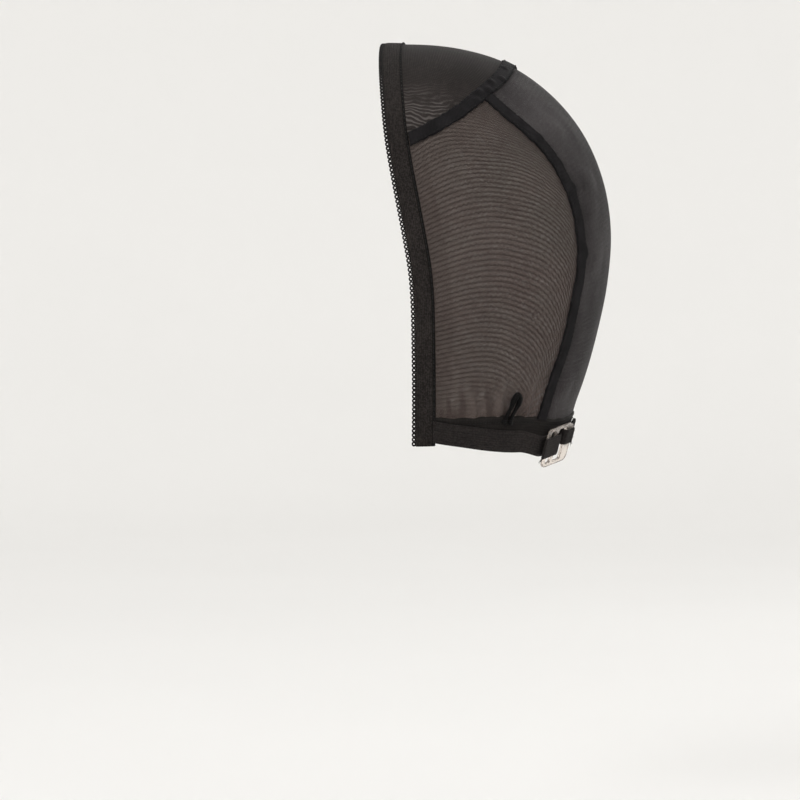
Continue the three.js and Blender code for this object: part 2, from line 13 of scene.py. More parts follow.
import bpy
import numpy as np
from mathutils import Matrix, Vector


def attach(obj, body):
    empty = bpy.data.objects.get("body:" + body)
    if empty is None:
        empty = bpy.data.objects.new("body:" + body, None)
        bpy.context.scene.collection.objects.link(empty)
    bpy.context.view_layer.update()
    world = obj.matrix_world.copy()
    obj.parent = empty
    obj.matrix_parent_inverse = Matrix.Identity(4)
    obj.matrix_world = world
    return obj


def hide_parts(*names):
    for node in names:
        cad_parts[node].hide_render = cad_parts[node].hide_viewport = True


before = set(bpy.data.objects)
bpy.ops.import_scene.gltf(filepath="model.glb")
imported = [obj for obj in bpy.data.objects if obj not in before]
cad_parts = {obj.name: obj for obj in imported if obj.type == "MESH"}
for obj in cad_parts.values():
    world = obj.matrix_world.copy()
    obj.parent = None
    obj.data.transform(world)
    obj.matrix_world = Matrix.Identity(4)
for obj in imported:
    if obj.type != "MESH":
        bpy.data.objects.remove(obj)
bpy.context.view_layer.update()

LOG = logging.getLogger("wig_cap")
MM = 0.001
BODY = "root"
MARKS = "marks"
Array = np.ndarray
Colour = tuple[float, float, float]


class Side(Enum):
    """The wearer's side that a paired piece is on."""

    LEFT = "left"
    RIGHT = "right"


def unit(vectors: Array) -> Array:
    """Scales vectors to a length of one."""
    return vectors / np.maximum(np.linalg.norm(vectors, axis=-1, keepdims=True), 1e-12)


def blend(start: Array | float, end: Array | float, share: Array | float) -> Array:
    """Values between a start and an end, at a share of the way."""
    return start + (end - start) * share


def smoothly(low: float, high: float, value: Array) -> Array:
    """Rises from 0 at low to 1 at high on an even S curve."""
    part = np.clip((value - low) / (high - low), 0, 1)
    return part * part * (3 - 2 * part)


def ridge(distance: Array, half_width: float) -> Array:
    """Height of a fold at a distance from its middle: 1 there, 0 at its edges."""
    part = np.clip(np.abs(distance) / half_width, 0, 1)
    return (1 - part * part) ** 2


def smooth_table(rows: Sequence[tuple[float, float]], at: Array) -> Array:
    """Reads a two-column table on a smooth curve through its rows.

    Args:
        rows: key and value of each row, by rising key.
        at: the keys to read it at.

    Returns:
        The value at each key.
    """
    keys, values = np.array(rows, float).T
    last = len(keys) - 1
    before = np.maximum(np.arange(last + 1) - 1, 0)
    after = np.minimum(np.arange(last + 1) + 1, last)
    slopes = (values[after] - values[before]) / (keys[after] - keys[before])
    spot = np.clip(at, keys[0], keys[-1])
    low = np.clip(np.searchsorted(keys, spot) - 1, 0, last - 1)
    step = keys[low + 1] - keys[low]
    part = (spot - keys[low]) / step
    ease = part * part * (3 - 2 * part)
    leave = part * (1 - part) ** 2 * step * slopes[low]
    arrive = part * part * (1 - part) * step * slopes[low + 1]
    return blend(values[low], values[low + 1], ease) + leave - arrive


@dataclass(frozen=True)
class HeadForm:
    """The rounded form that the cap is cut for, measured from its middle."""

    back: float = 93 * MM
    up: float = 85.5 * MM
    half_width: float = 76 * MM
    roundness: float = 2.1
    nudge: float = 0.05 * MM
    settle_steps: int = 8
    fullness: tuple[tuple[float, float], ...] = (
        (-110, 2.2), (-90, 2.3), (-75, 2.08), (-65, 1.74), (-58, 1.495), (-52, 1.35),
        (-45, 1.236), (-30, 1.096), (-15, 1.025), (0, 1), (15, 0.997), (30, 1.005),
        (45, 1.012), (60, 1.016), (75, 1.005), (90, 1), (100, 1.013), (120, 1.03),
    )
    narrowing: tuple[tuple[float, float], ...] = (
        (-90, 0.8), (-60, 0.87), (-45, 0.94), (-30, 0.985), (-15, 1), (0, 1), (90, 1),
    )

    @property
    def middle(self) -> Array:
        """The middle of the form."""
        return np.array([0.0, 0.0, -self.up])

    def reach(self, lines: Array) -> Array:
        """How far the side outline lies from the middle, along each line.

        Args:
            lines: ways out from the middle.

        Returns:
            A distance for each.
        """
        turn = np.arctan2(lines[..., 2], lines[..., 1])
        ellipse = 1 / np.hypot(np.cos(turn) / self.back, np.sin(turn) / self.up)
        return ellipse * smooth_table(self.fullness, np.degrees(turn))

    def width_at(self, lines: Array) -> Array:
        """Half the form's width at the slope of each line from its middle."""
        slope = np.arcsin(np.clip(unit(lines)[..., 2], -1, 1))
        return self.half_width * smooth_table(self.narrowing, np.degrees(slope))

    def onto(self, points: Array) -> Array:
        """Moves points onto the form, along the lines from its middle.

        Args:
            points: any points but the middle itself.

        Returns:
            The points of the form.
        """
        lines = unit(points - self.middle)
        sideways = np.abs(lines[..., 0]) / self.width_at(lines)
        lengthways = np.hypot(lines[..., 1], lines[..., 2]) / self.reach(lines)
        total = sideways ** self.roundness + lengthways ** self.roundness
        return self.middle + lines * (total ** (-1 / self.roundness))[..., None]

    def normals(self, points: Array) -> Array:
        """The way straight out of the form at each point.

        Args:
            points: points on the form or near it.

        Returns:
            A way of length one for each.
        """
        nudge = self.nudge
        lines = unit(points - self.middle)
        sideways = np.abs(lines[..., :1]) > np.abs(lines[..., 2:])
        helper = np.where(sideways, np.array([0.0, 0.0, 1.0]), np.array([1.0, 0.0, 0.0]))
        first = unit(np.cross(lines, helper))
        second = np.cross(lines, first)
        slopes = [self.onto(points + way * nudge) - self.onto(points - way * nudge)
                  for way in (first, second)]
        found = unit(np.cross(*slopes))
        return np.where((found * lines).sum(-1, keepdims=True) < 0, -found, found)

    def lifted(self, points: Array, height: Array | float) -> Array:
        """Points of the form moved straight out by a height."""
        return points + self.normals(points) * np.asarray(height)[..., None]

    def places(self, rows: Sequence[tuple[float, float]]) -> Array:
        """The points of the form's left side seen at places in side view.

        Args:
            rows: back and up of each place, as shares of the form's reach back and up.

        Returns:
            One point a row. A row beyond the outline gives a point on the centre line.
        """
        places = np.array([(0.0, back * self.back, up * self.up) for back, up in rows])
        share = np.linalg.norm(places, axis=-1) / self.reach(places)
        inward = np.maximum(1 - share ** self.roundness, 0) ** (1 / self.roundness)
        for _ in range(self.settle_steps):
            places[:, 0] = inward * self.width_at(places)
        return self.onto(places + self.middle)


FORM = HeadForm()


def smooth_path(places: Array, steps: int = 200) -> tuple[Array, Array]:
    """Eases a path through places as a centripetal spline does.

    Args:
        places: the points that it passes through, in order.
        steps: how many points to give between each two of them.

    Returns:
        The points, and how far along the path each one lies.
    """
    before, after = 2 * places[0] - places[1], 2 * places[-1] - places[-2]
    knots = np.vstack([before, places, after])
    spans = np.maximum(np.linalg.norm(np.diff(knots, axis=0), axis=1), 1e-9) ** 0.5
    parts = np.linspace(0, 1, steps, endpoint=False)[:, None]
    stretches = []
    for index in range(len(places) - 1):
        a, b, c, d = knots[index:index + 4]
        first, mid, last = spans[index:index + 3]
        leave = ((b - a) / first - (c - a) / (first + mid) + (c - b) / mid) * mid
        arrive = ((c - b) / mid - (d - b) / (mid + last) + (d - c) / last) * mid
        square = -3 * b + 3 * c - 2 * leave - arrive
        cube = 2 * b - 2 * c + leave + arrive
        stretches.append(b + leave * parts + square * parts ** 2 + cube * parts ** 3)
    dense = np.vstack([*stretches, places[-1:]])
    travel = np.concatenate([[0], np.cumsum(np.linalg.norm(np.diff(dense, axis=0), axis=1))])
    return dense, travel


@dataclass
class SeamLine:
    """A line on the head form, read at shares of its length. It runs on a little past its ends."""

    points: Array
    shares: Array = field(default_factory=lambda: np.linspace(-0.1, 1.1, 2401))

    @classmethod
    def through(cls, places: Array) -> "SeamLine":
        """A smooth line through places on the form.

        Args:
            places: the points that it passes through, in order.

        Returns:
            The line, with its corners eased as a centripetal spline eases them.
        """
        dense, travel = smooth_path(places)
        line = cls(dense)
        within = np.clip(line.shares, 0, 1) * travel[-1]
        points = np.stack([np.interp(within, travel, dense[:, axis]) for axis in range(3)], -1)
        over = (line.shares - np.clip(line.shares, 0, 1))[:, None] * travel[-1]
        ways = np.where(over < 0, unit(dense[1] - dense[0]), unit(dense[-1] - dense[-2]))
        line.points = FORM.onto(points + ways * over)
        return line

    @classmethod
    def across_head(cls, left: Array) -> "SeamLine":
        """A line from the left side over the centre line, its last place, to the right side."""
        return cls.through(np.vstack([left, (left[:-1] * [-1, 1, 1])[::-1]]))

    def at(self, share: Array | float) -> Array:
        """The point at each share of the line.

        Args:
            share: shares of its length.

        Returns:
            The points, on the form.
        """
        share = np.asarray(share, float)
        found = [np.interp(share.ravel(), self.shares, self.points[:, axis]) for axis in range(3)]
        return FORM.onto(np.stack(found, -1)).reshape(*share.shape, 3)

    def ways(self, share: Array | float) -> tuple[Array, Array, Array, Array]:
        """The line's place and directions at shares of its length.

        Args:
            share: shares of its length.

        Returns:
            The point at each share with the ways ahead, across and straight out there.
        """
        step = 0.004
        share = np.asarray(share, float)
        point = self.at(share)
        ahead = unit(self.at(share + step) - self.at(share - step))
        normal = FORM.normals(point)
        return point, ahead, unit(np.cross(ahead, normal)), normal

    def beside(self, share: Array, distance: Array | float) -> Array:
        """Points at a distance across from the line, on the form."""
        point, _, across, _ = self.ways(share)
        return FORM.onto(point + across * np.asarray(distance)[..., None])

    def alongside(self, distance: float) -> "SeamLine":
        """The line that keeps a distance across from this one."""
        return SeamLine(self.beside(self.shares, distance))

    def part(self, start: float, end: float) -> "SeamLine":
        """The stretch of this line between two shares, as a line of its own."""
        return SeamLine(self.at(blend(start, end, self.shares)))

    def length(self) -> float:
        """The line's length."""
        inside = self.points[(self.shares >= 0) & (self.shares <= 1)]
        return float(np.linalg.norm(np.diff(inside, axis=0), axis=1).sum())

    def nearest(self, point: Array) -> float:
        """The share at which the line passes closest to a point."""
        stops = np.linspace(0, 1, 1201)
        return float(stops[np.argmin(np.linalg.norm(self.at(stops) - point, axis=1))])


@dataclass
class Patch:
    """Cloth filled in between four seams: near and far run along it, start and end join them."""

    near: SeamLine
    far: SeamLine
    start: SeamLine
    end: SeamLine
    start_room: float = 0.0
    end_room: float = 0.0
    near_room: float = 0.0
    far_room: float = 0.0

    def __post_init__(self) -> None:
        """Measures the patch each way, so that its rooms can be kept."""
        stops, rulers = np.linspace(0, 1, 9), np.linspace(0, 1, 33)
        step, ruler = np.meshgrid(stops, rulers, indexing="ij")
        self.rulers = rulers
        self.along_lengths = np.linalg.norm(np.diff(self._filled(step, ruler), axis=0), axis=-1).sum(0)
        self.across_lengths = np.linalg.norm(np.diff(self._filled(ruler, step), axis=0), axis=-1).sum(0)

    def _filled(self, along: Array, across: Array) -> Array:
        """Fills in between the four seams, before any room is kept.

        Args:
            along: shares from the start to the end.
            across: shares from near to far.

        Returns:
            The points, on the form.
        """
        a, c = along[..., None], across[..., None]
        blended = self.near.at(along) * (1 - c) + self.far.at(along) * c
        blended += self.start.at(across) * (1 - a) + self.end.at(across) * a
        corners = self.near.at(0) * (1 - a) * (1 - c) + self.near.at(1) * a * (1 - c)
        corners = corners + self.far.at(0) * (1 - a) * c + self.far.at(1) * a * c
        return FORM.onto(blended - corners)

    def at(self, along: Array, across: Array) -> Array:
        """Points of the patch, on the form.

        Args:
            along: shares from the start to the end.
            across: shares from near to far.

        Returns:
            The points, held back from each side by its room.
        """
        long = np.interp(across, self.rulers, self.along_lengths)
        wide = np.interp(along, self.rulers, self.across_lengths)
        return self._filled(
            blend(self.start_room / long, 1 - self.end_room / long, along),
            blend(self.near_room / wide, 1 - self.far_room / wide, across),
        )


@dataclass
class CapPattern:
    """The seams and edges of the whole cap, as shares of the form's reach back and up."""

    front_edge_rows: tuple[tuple[float, float], ...] = (
        (0.044, -1.165), (0.05, -0.92), (0.052, -0.66), (0.049, -0.4), (0.037, -0.24), (0.004, -0.03),
        (-0.033, 0.175), (-0.079, 0.44), (-0.107, 0.66), (-0.13, 0.86), (-0.142, 0.985), (-0.145, 1.03),
    )
    crown_seam_rows: tuple[tuple[float, float], ...] = (
        (0.05, 0.44), (0.102, 0.472), (0.186, 0.524), (0.28, 0.592), (0.384, 0.697), (0.46, 0.786),
        (0.515, 0.93),
    )
    back_seam_rows: tuple[tuple[float, float], ...] = (
        (0.384, 0.697), (0.485, 0.599), (0.601, 0.493), (0.693, 0.391), (0.755, 0.288), (0.801, 0.185),
        (0.831, 0.082), (0.848, -0.021), (0.856, -0.14), (0.851, -0.24), (0.827, -0.386), (0.786, -0.595),
        (0.723, -0.805), (0.659, -1.03),
    )
    nape_seam_rows: tuple[tuple[float, float], ...] = (
        (0.17, -1.024), (0.327, -1.025), (0.471, -1.016), (0.614, -1.022), (0.659, -1.03), (0.775, -1.031),
        (0.85, -1.052),
    )
    front_band_wide: float = 10.8 * MM

    def __post_init__(self) -> None:
        """Draws the seams on the form."""
        self.front_edge = SeamLine.across_head(FORM.places(self.front_edge_rows))
        self.band_rear = self.front_edge.alongside(self.front_band_wide)
        crown, nape = FORM.places(self.crown_seam_rows), FORM.places(self.nape_seam_rows)
        self.crown_join = self.band_rear.nearest(crown[0])
        self.nape_join = self.band_rear.nearest(nape[0])
        crown[0], nape[0] = self.band_rear.at(self.crown_join), self.band_rear.at(self.nape_join)
        self.crown_seam, self.nape_seam = SeamLine.across_head(crown), SeamLine.across_head(nape)
        back = FORM.places(self.back_seam_rows)
        self.back_top = self.crown_seam.nearest(back[0])
        self.back_foot = self.nape_seam.nearest(back[-1])
        back[0], back[-1] = self.crown_seam.at(self.back_top), self.nape_seam.at(self.back_foot)
        self.back_seam = SeamLine.through(back)
        self.right_back_seam = SeamLine(self.back_seam.points * [-1, 1, 1])
        self.band_stops = self.band_rear.ways(np.linspace(0, 1, 401))

    def behind_band(self, points: Array) -> Array:
        """How far points of the form lie behind the front band.

        Args:
            points: the points.

        Returns:
            A distance for each, below 0 in front of the band's rear edge.
        """
        stops, _, across, _ = self.band_stops
        nearest = np.argmin(np.linalg.norm(points[:, None] - stops[None], axis=-1), axis=1)
        return ((points - stops[nearest]) * across[nearest]).sum(-1)

    def clear_of_band(self, line: SeamLine, sides: Array, room: float) -> Array:
        """The share at which each side of a line leaves the front band.

        Args:
            line: a line that runs away from the band.
            sides: distances across from that line.
            room: how far behind the band each side starts.

        Returns:
            One share a side.
        """
        close, clear = np.full(len(sides), -0.05), np.full(len(sides), 0.2)
        for _ in range(14):
            half = (close + clear) / 2
            inside = self.behind_band(line.beside(half, sides)) < room
            close, clear = np.where(inside, half, close), np.where(inside, clear, half)
        return clear


class MeshParts:
    """Points, faces and surface coordinates that are gathered into one object."""

    def __init__(self) -> None:
        """Starts empty."""
        self.points: list[Array] = []
        self.marks: list[Array] = []
        self.faces: list[Array] = []
        self.count = 0

    def add(self, points: Array, faces: Array, marks: Array) -> None:
        """Adds a piece of mesh.

        Args:
            points: its points, (n, 3).
            faces: four point numbers a face, (m, 4).
            marks: surface coordinates of each point in millimetres, (n, 2).
        """
        self.points.append(points.reshape(-1, 3))
        self.marks.append(marks.reshape(-1, 2))
        self.faces.append(faces.reshape(-1, 4) + self.count)
        self.count += points.reshape(-1, 3).shape[0]

    @staticmethod
    def grid_faces(rows: int, columns: int, around: bool = False) -> Array:
        """The faces of a grid of points.

        Args:
            rows: how many rows of points it has.
            columns: how many points a row.
            around: whether each row closes on itself.

        Returns:
            Four point numbers a face.
        """
        numbers = np.arange(rows * columns).reshape(rows, columns)
        beside = np.roll(numbers, -1, axis=1) if around else numbers[:, 1:]
        here = numbers if around else numbers[:, :-1]
        return np.stack([here[:-1], beside[:-1], beside[1:], here[1:]], -1).reshape(-1, 4)

    def add_sheet(self, grid: Array, marks: Array) -> None:
        """Adds one layer of cloth that faces out from the form.

        Args:
            grid: its points, in rows.
            marks: surface coordinates of each point in millimetres.
        """
        rows, columns = grid.shape[:2]
        faces = self.grid_faces(rows, columns)
        a, b, c = (grid.reshape(-1, 3)[faces[:, corner]] for corner in range(3))
        outward = (np.cross(b - a, c - a) * (a - FORM.middle)).sum()
        self.add(grid, faces if outward > 0 else faces[:, ::-1], marks)

    def add_wall(self, inner: Array, outer: Array, marks: Array) -> None:
        """Adds a closed wall between two grids of points.

        Args:
            inner: the points of its inner face, in rows.
            outer: the points of its outer face, in the same rows.
            marks: surface coordinates of the points of one face.
        """
        rows, columns = inner.shape[:2]
        numbers = np.arange(rows * columns).reshape(rows, columns)
        top = self.grid_faces(rows, columns) + rows * columns
        under = self.grid_faces(rows, columns)[:, ::-1]
        rim = np.concatenate([numbers[:, 0], numbers[-1, 1:], numbers[-2::-1, -1], numbers[0, -2::-1]])
        edges = np.stack([rim[:-1], rim[1:]], -1)
        lifted = edges + rows * columns
        band = np.stack([edges[:, 0], lifted[:, 0], lifted[:, 1], edges[:, 1]], -1)
        faces = np.concatenate([top, under, band])
        points = np.concatenate([inner.reshape(-1, 3), outer.reshape(-1, 3)])
        a, b, c, d = (points[faces[:, corner]] for corner in range(4))
        volume = (np.cross(a, b) * c).sum() + (np.cross(a, c) * d).sum()
        self.add(points, faces if volume > 0 else faces[:, ::-1], np.concatenate([marks, marks]))

    def add_tube(self, path: Array, out: Array, radius: Array | float, sides: int = 4,
                 closed: bool = False, flat: float = 1.0, mark: float = 0.0) -> None:
        """Adds a thread, cord or strand.

        Args:
            path: points along its middle.
            out: the way out of the cloth at each of them.
            radius: its radius, one for all or one a point.
            sides: how many sides it has.
            closed: whether its ends meet.
            flat: its height as a share of its width.
            mark: surface coordinate across, in millimetres.
        """
        if closed:
            ahead = unit(np.roll(path, -1, axis=0) - np.roll(path, 1, axis=0))
        else:
            ahead = unit(np.gradient(path, axis=0))
        beside = unit(np.cross(ahead, out))
        rise = np.cross(beside, ahead)
        turns = np.linspace(0, 2 * np.pi, sides, endpoint=False)
        reach = np.broadcast_to(np.asarray(radius, float), (len(path),))[:, None, None]
        high, wide = flat * np.cos(turns)[None, :, None], np.sin(turns)[None, :, None]
        ring = high * rise[:, None] + wide * beside[:, None]
        points = path[:, None] + reach * ring
        travel = np.concatenate([[0], np.cumsum(np.linalg.norm(np.diff(path, axis=0), axis=1))]) / MM
        marks = np.stack(np.broadcast_arrays(travel[:, None], mark + turns[None]), -1)
        faces = self.grid_faces(len(path), sides, around=True)
        if closed:
            numbers = np.arange(len(path) * sides).reshape(len(path), sides)
            last, first = numbers[-1], numbers[0]
            seam = np.stack([last, np.roll(last, -1), np.roll(first, -1), first], -1)
            faces = np.concatenate([faces, seam])
        self.add(points, faces, marks)

    def made(self, name: str, finish: "Finish", mirror: bool = False) -> bpy.types.Object:
        """Makes the object.

        Args:
            name: its name.
            finish: what it is dressed in.
            mirror: whether it is made for the other side of the head.

        Returns:
            The object, which rides on the cap's one body.
        """
        points, marks = np.concatenate(self.points), np.concatenate(self.marks)
        faces = np.concatenate(self.faces)
        if mirror:
            points, faces = points * [-1, 1, 1], faces[:, ::-1]
        mesh = bpy.data.meshes.new(name)
        mesh.from_pydata(points.tolist(), [], faces.tolist())
        corners = np.zeros(len(mesh.loops), np.int32)
        mesh.loops.foreach_get("vertex_index", corners)
        layer = mesh.uv_layers.new(name=MARKS)
        layer.data.foreach_set("uv", marks[corners].astype(np.float32).ravel())
        mesh.polygons.foreach_set("use_smooth", [True] * len(mesh.polygons))
        mesh.materials.append(finish.material())
        made = bpy.data.objects.new(name, mesh)
        bpy.context.scene.collection.objects.link(made)
        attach(made, BODY)
        LOG.info("%s: %d points, %d faces", name, len(points), len(faces))
        return made


class Value:
    """One shader socket, so that shader maths reads as plain expressions."""

    def __init__(self, paint: "Paint", socket: bpy.types.NodeSocket) -> None:
        """Wraps a socket of a material being painted."""
        self.paint = paint
        self.socket = socket

    def _math(self, operation: str, *others: "Value | float") -> "Value":
        """The result of a Math node that takes this value first."""
        return self.paint.math(operation, self, *others)

    def __add__(self, other: "Value | float") -> "Value":
        """This value plus another."""
        return self._math("ADD", other)

    __radd__ = __add__

    def __sub__(self, other: "Value | float") -> "Value":
        """This value less another."""
        return self._math("SUBTRACT", other)

    def __rsub__(self, other: float) -> "Value":
        """A number less this value."""
        return self.paint.math("SUBTRACT", other, self)

    def __mul__(self, other: "Value | float") -> "Value":
        """This value times another."""
        return self._math("MULTIPLY", other)

    __rmul__ = __mul__

    def __truediv__(self, other: "Value | float") -> "Value":
        """This value over another."""
        return self._math("DIVIDE", other)

    def __pow__(self, other: "Value | float") -> "Value":
        """This value to a power."""
        return self._math("POWER", other)

    def whole(self) -> "Value":
        """The whole number at or below this value."""
        return self._math("FLOOR")

    def part(self) -> "Value":
        """What is left over that whole number."""
        return self._math("FRACT")

    def size(self) -> "Value":
        """This value without its sign."""
        return self._math("ABSOLUTE")

    def wave(self, pitch: float) -> "Value":
        """A wave from 0 to 1 that repeats at each pitch of this value."""
        return self.paint.math("COSINE", self * (2 * math.pi / pitch)) * 0.5 + 0.5

    def rise(self, low: float, high: float) -> "Value":
        """Rises from 0 to 1 on an even S curve.

        Args:
            low: the value up to which it is 0.
            high: the value from which it is 1.

        Returns:
            The risen value.
        """
        settings = {"interpolation_type": "SMOOTHSTEP"}
        values = {"Value": self, "From Min": low, "From Max": high}
        return self.paint.node("ShaderNodeMapRange", settings, values)


class Paint:
    """A material being made from nodes."""

    def __init__(self, name: str) -> None:
        """Starts a material with a Principled shader on its output.

        Args:
            name: the material's name.
        """
        self.material = bpy.data.materials.new(name)
        self.material.use_nodes = True
        self.tree = self.material.node_tree
        self.tree.nodes.clear()
        self.shader = self.tree.nodes.new("ShaderNodeBsdfPrincipled")
        output = self.tree.nodes.new("ShaderNodeOutputMaterial")
        self.tree.links.new(self.shader.outputs["BSDF"], output.inputs["Surface"])

    def node(self, kind: str, settings: dict, values: dict, output: int | str = 0) -> Value:
        """Adds a node.

        Args:
            kind: the node's type.
            settings: its own settings, set first.
            values: a number, vector, colour or Value for each input, by name or number.
            output: which output to read.

        Returns:
            That output.
        """
        node = self.tree.nodes.new(kind)
        for name, setting in settings.items():
            setattr(node, name, setting)
        for name, value in values.items():
            self._feed(node.inputs[name], value)
        return Value(self, node.outputs[output])

    def _feed(self, socket: bpy.types.NodeSocket, value: "Value | float | Sequence[float]") -> None:
        """Links a value to a socket, or sets it.

        Args:
            socket: the input to feed.
            value: a Value to link, or a number, vector or colour to set.
        """
        if isinstance(value, Value):
            self.tree.links.new(value.socket, socket)
        elif hasattr(value, "__len__") and socket.type == "RGBA":
            socket.default_value = (*value, 1)
        else:
            socket.default_value = value

    def math(self, operation: str, *values: "Value | float") -> Value:
        """The result of a Math node on some values."""
        return self.node("ShaderNodeMath", {"operation": operation}, dict(enumerate(values)))

    def mix(self, factor: Value | float, first: "Value | Colour", second: "Value | Colour") -> Value:
        """A colour between two others."""
        node_values = {0: factor, 6: first, 7: second}
        return self.node("ShaderNodeMix", {"data_type": "RGBA"}, node_values, output=2)

    def marks(self) -> tuple[Value, Value]:
        """The surface coordinates, in millimetres along and across."""
        along, across, _ = self.parts_of(self.node("ShaderNodeUVMap", {"uv_map": MARKS}, {}))
        return along, across

    def place(self) -> Value:
        """The place in the object's own frame, in metres."""
        return self.node("ShaderNodeTexCoord", {}, {}, output="Object")

    def parts_of(self, vector: Value) -> tuple[Value, Value, Value]:
        """The three numbers of a vector.

        Args:
            vector: the vector to take apart.

        Returns:
            Its X, Y and Z.
        """
        x, y, z = (self.node("ShaderNodeSeparateXYZ", {}, {0: vector}, output=name) for name in "XYZ")
        return x, y, z

    def stretched(self, along: Value, across: Value, layer: float) -> Value:
        """A place for noise that is drawn out one way, in a layer of its own."""
        return self.node("ShaderNodeCombineXYZ", {}, {"X": along, "Y": across, "Z": layer})

    def noise(self, vector: Value, scale: float, detail: float = 2.0, roughness: float = 0.5) -> Value:
        """Soft cloudy values from 0 to 1.

        Args:
            vector: the place to read them at.
            scale: how many clouds a unit of that place.
            detail: how many finer layers.
            roughness: how strong those are.

        Returns:
            The value.
        """
        values = {"Vector": vector, "Scale": scale, "Detail": detail, "Roughness": roughness}
        return self.node("ShaderNodeTexNoise", {}, values)

    def mottled(self, vector: Value, scale: float, low: float, high: float) -> Value:
        """Noise stretched to run from 0 to 1 between two of its levels."""
        return self.noise(vector, scale, 3.0, 0.6).rise(low, high)

    def bump(self, height: Value, distance: float, strength: float = 1.0) -> Value:
        """A normal from a height.

        Args:
            height: the relief, from 0 to 1.
            distance: how far it stands at 1, in metres.
            strength: how much of it shows.

        Returns:
            The normal.
        """
        values = {"Height": height, "Distance": distance, "Strength": strength}
        return self.node("ShaderNodeBump", {}, values)

    def finish(self, **values: "Value | float | Colour") -> bpy.types.Material:
        """Sets the shader's own sockets.

        Args:
            **values: what each one takes, by its name with underscores for blanks.

        Returns:
            The material.
        """
        for name, value in values.items():
            self._feed(self.shader.inputs[name.replace("_", " ")], value)
        return self.material


@dataclass(frozen=True)
class Finish:
    """What a piece is dressed in. Each kind paints its own material."""

    name: str
    slot: str

    def material(self) -> bpy.types.Material:
        """The material, painted the first time that it is asked for."""
        found = bpy.data.materials.get(self.name)
        return found if found else self.paint(Paint(self.name))

    def paint(self, paint: Paint) -> bpy.types.Material:
        """Paints the material."""
        raise NotImplementedError


@dataclass(frozen=True)
class SheerKnit(Finish):
    """Fine open knit: rows of small holes in staggered columns, closer where it is gathered. Its gathered
    streaks carry painted fold shade, and its broad clouds are painted patches of sheen.
    """

    row: float = 2.07
    stitch: float = 2.3
    mesh: float = 0.52
    open_share: float = 0.26
    fuzz: float = 0.6
    row_open: float = 0.35
    row_tone: float = 1.0
    streak_and_fold_shade: float = 0.0
    streak_tall: float = 27.0
    sheen_and_fold_clouds: float = 0.25
    dark: Colour = (0.05, 0.037, 0.033)
    light: Colour = (0.098, 0.075, 0.068)
    green: Colour = (0.088, 0.08, 0.07)

    def paint(self, paint: Paint) -> bpy.types.Material:
        """Paints the threads and opens the holes, more between the rows than on them. Near the band,
        bunched streaks are darker, partly as denser cloth and partly as painted fold shade; broad clouds
        in the tone are painted sheen and fold shade.

        Args:
            paint: the material to paint.

        Returns:
            The painted material.
        """
        along, across = paint.marks()
        place = paint.place()
        tall = self.mesh * 0.87
        stagger = (across / tall).whole() * 0.5
        beside = ((along / self.mesh + stagger).part() - 0.5) * self.mesh
        above = ((across / tall).part() - 0.5) * tall
        uneven = (paint.noise(place, 1500.0, 1.0) - 0.5) * (self.mesh * 0.12)
        from_hole = (beside * beside + above * above) ** 0.5 + uneven
        zigzag = (along.wave(self.stitch) - 0.5) * 0.55
        low = 1 - (across / self.streak_tall).rise(0.0, 1.0)
        between = 0.5 + (0.5 - (across + zigzag).wave(self.row)) * (1 - low * (self.streak_and_fold_shade * 0.75))
        reach = (between * self.row_open + (1 - self.row_open / 2)) * (self.open_share * self.mesh)
        hole = 1 - (from_hole / reach).rise(0.82, 1.18)
        # Streaks near the band where the knit bunches: the holes close there, and the tone darkens as
        # painted fold shade.
        streaks = paint.stretched(along * 0.13, across * 0.02, 3.7)
        bunched_and_fold_shade = paint.noise(streaks, 1.7, 1.0, 0.4).rise(0.38, 0.6) * low * self.streak_and_fold_shade
        alpha = 1 - hole * (1 - bunched_and_fold_shade * 0.75) * (1 - self.fuzz)
        tone = between * (0.45 * self.row_tone) + paint.mottled(place, 420.0, 0.25, 0.75) * 0.3
        # Broad clouds of lighter and darker tone: painted patches of sheen and fold shade.
        sheen_cloud_place = paint.stretched(along * 0.05, across * 0.024, 1.9)
        tone = tone + ((paint.noise(sheen_cloud_place, 1.3, 1.0, 0.5) - 0.5) * self.sheen_and_fold_clouds * 2.4 - bunched_and_fold_shade * 0.8)
        # Painted fold shade near the band: darker in the bunched streaks and a little darker all along
        # there.
        tone = tone + (1 - bunched_and_fold_shade) * low * (self.streak_and_fold_shade * 0.18) - low * (self.streak_and_fold_shade * 0.2)
        _, _, up = paint.parts_of(place)
        greener = paint.mottled(place, 17.0, 0.4, 0.65) * 0.5 + up.rise(-0.13, -0.05) * 0.4
        lit = paint.mix(greener, self.light, self.green)
        height = (1 - hole) * 0.7 + (1 - between) * 0.3
        return paint.finish(
            Base_Color=paint.mix(tone + 0.15, self.dark, lit), Alpha=alpha,
            Roughness=0.88 - between * 0.1, Normal=paint.bump(height, 0.1 * MM),
            Sheen_Weight=0.06, Sheen_Roughness=0.5, Specular_IOR_Level=0.12,
        )


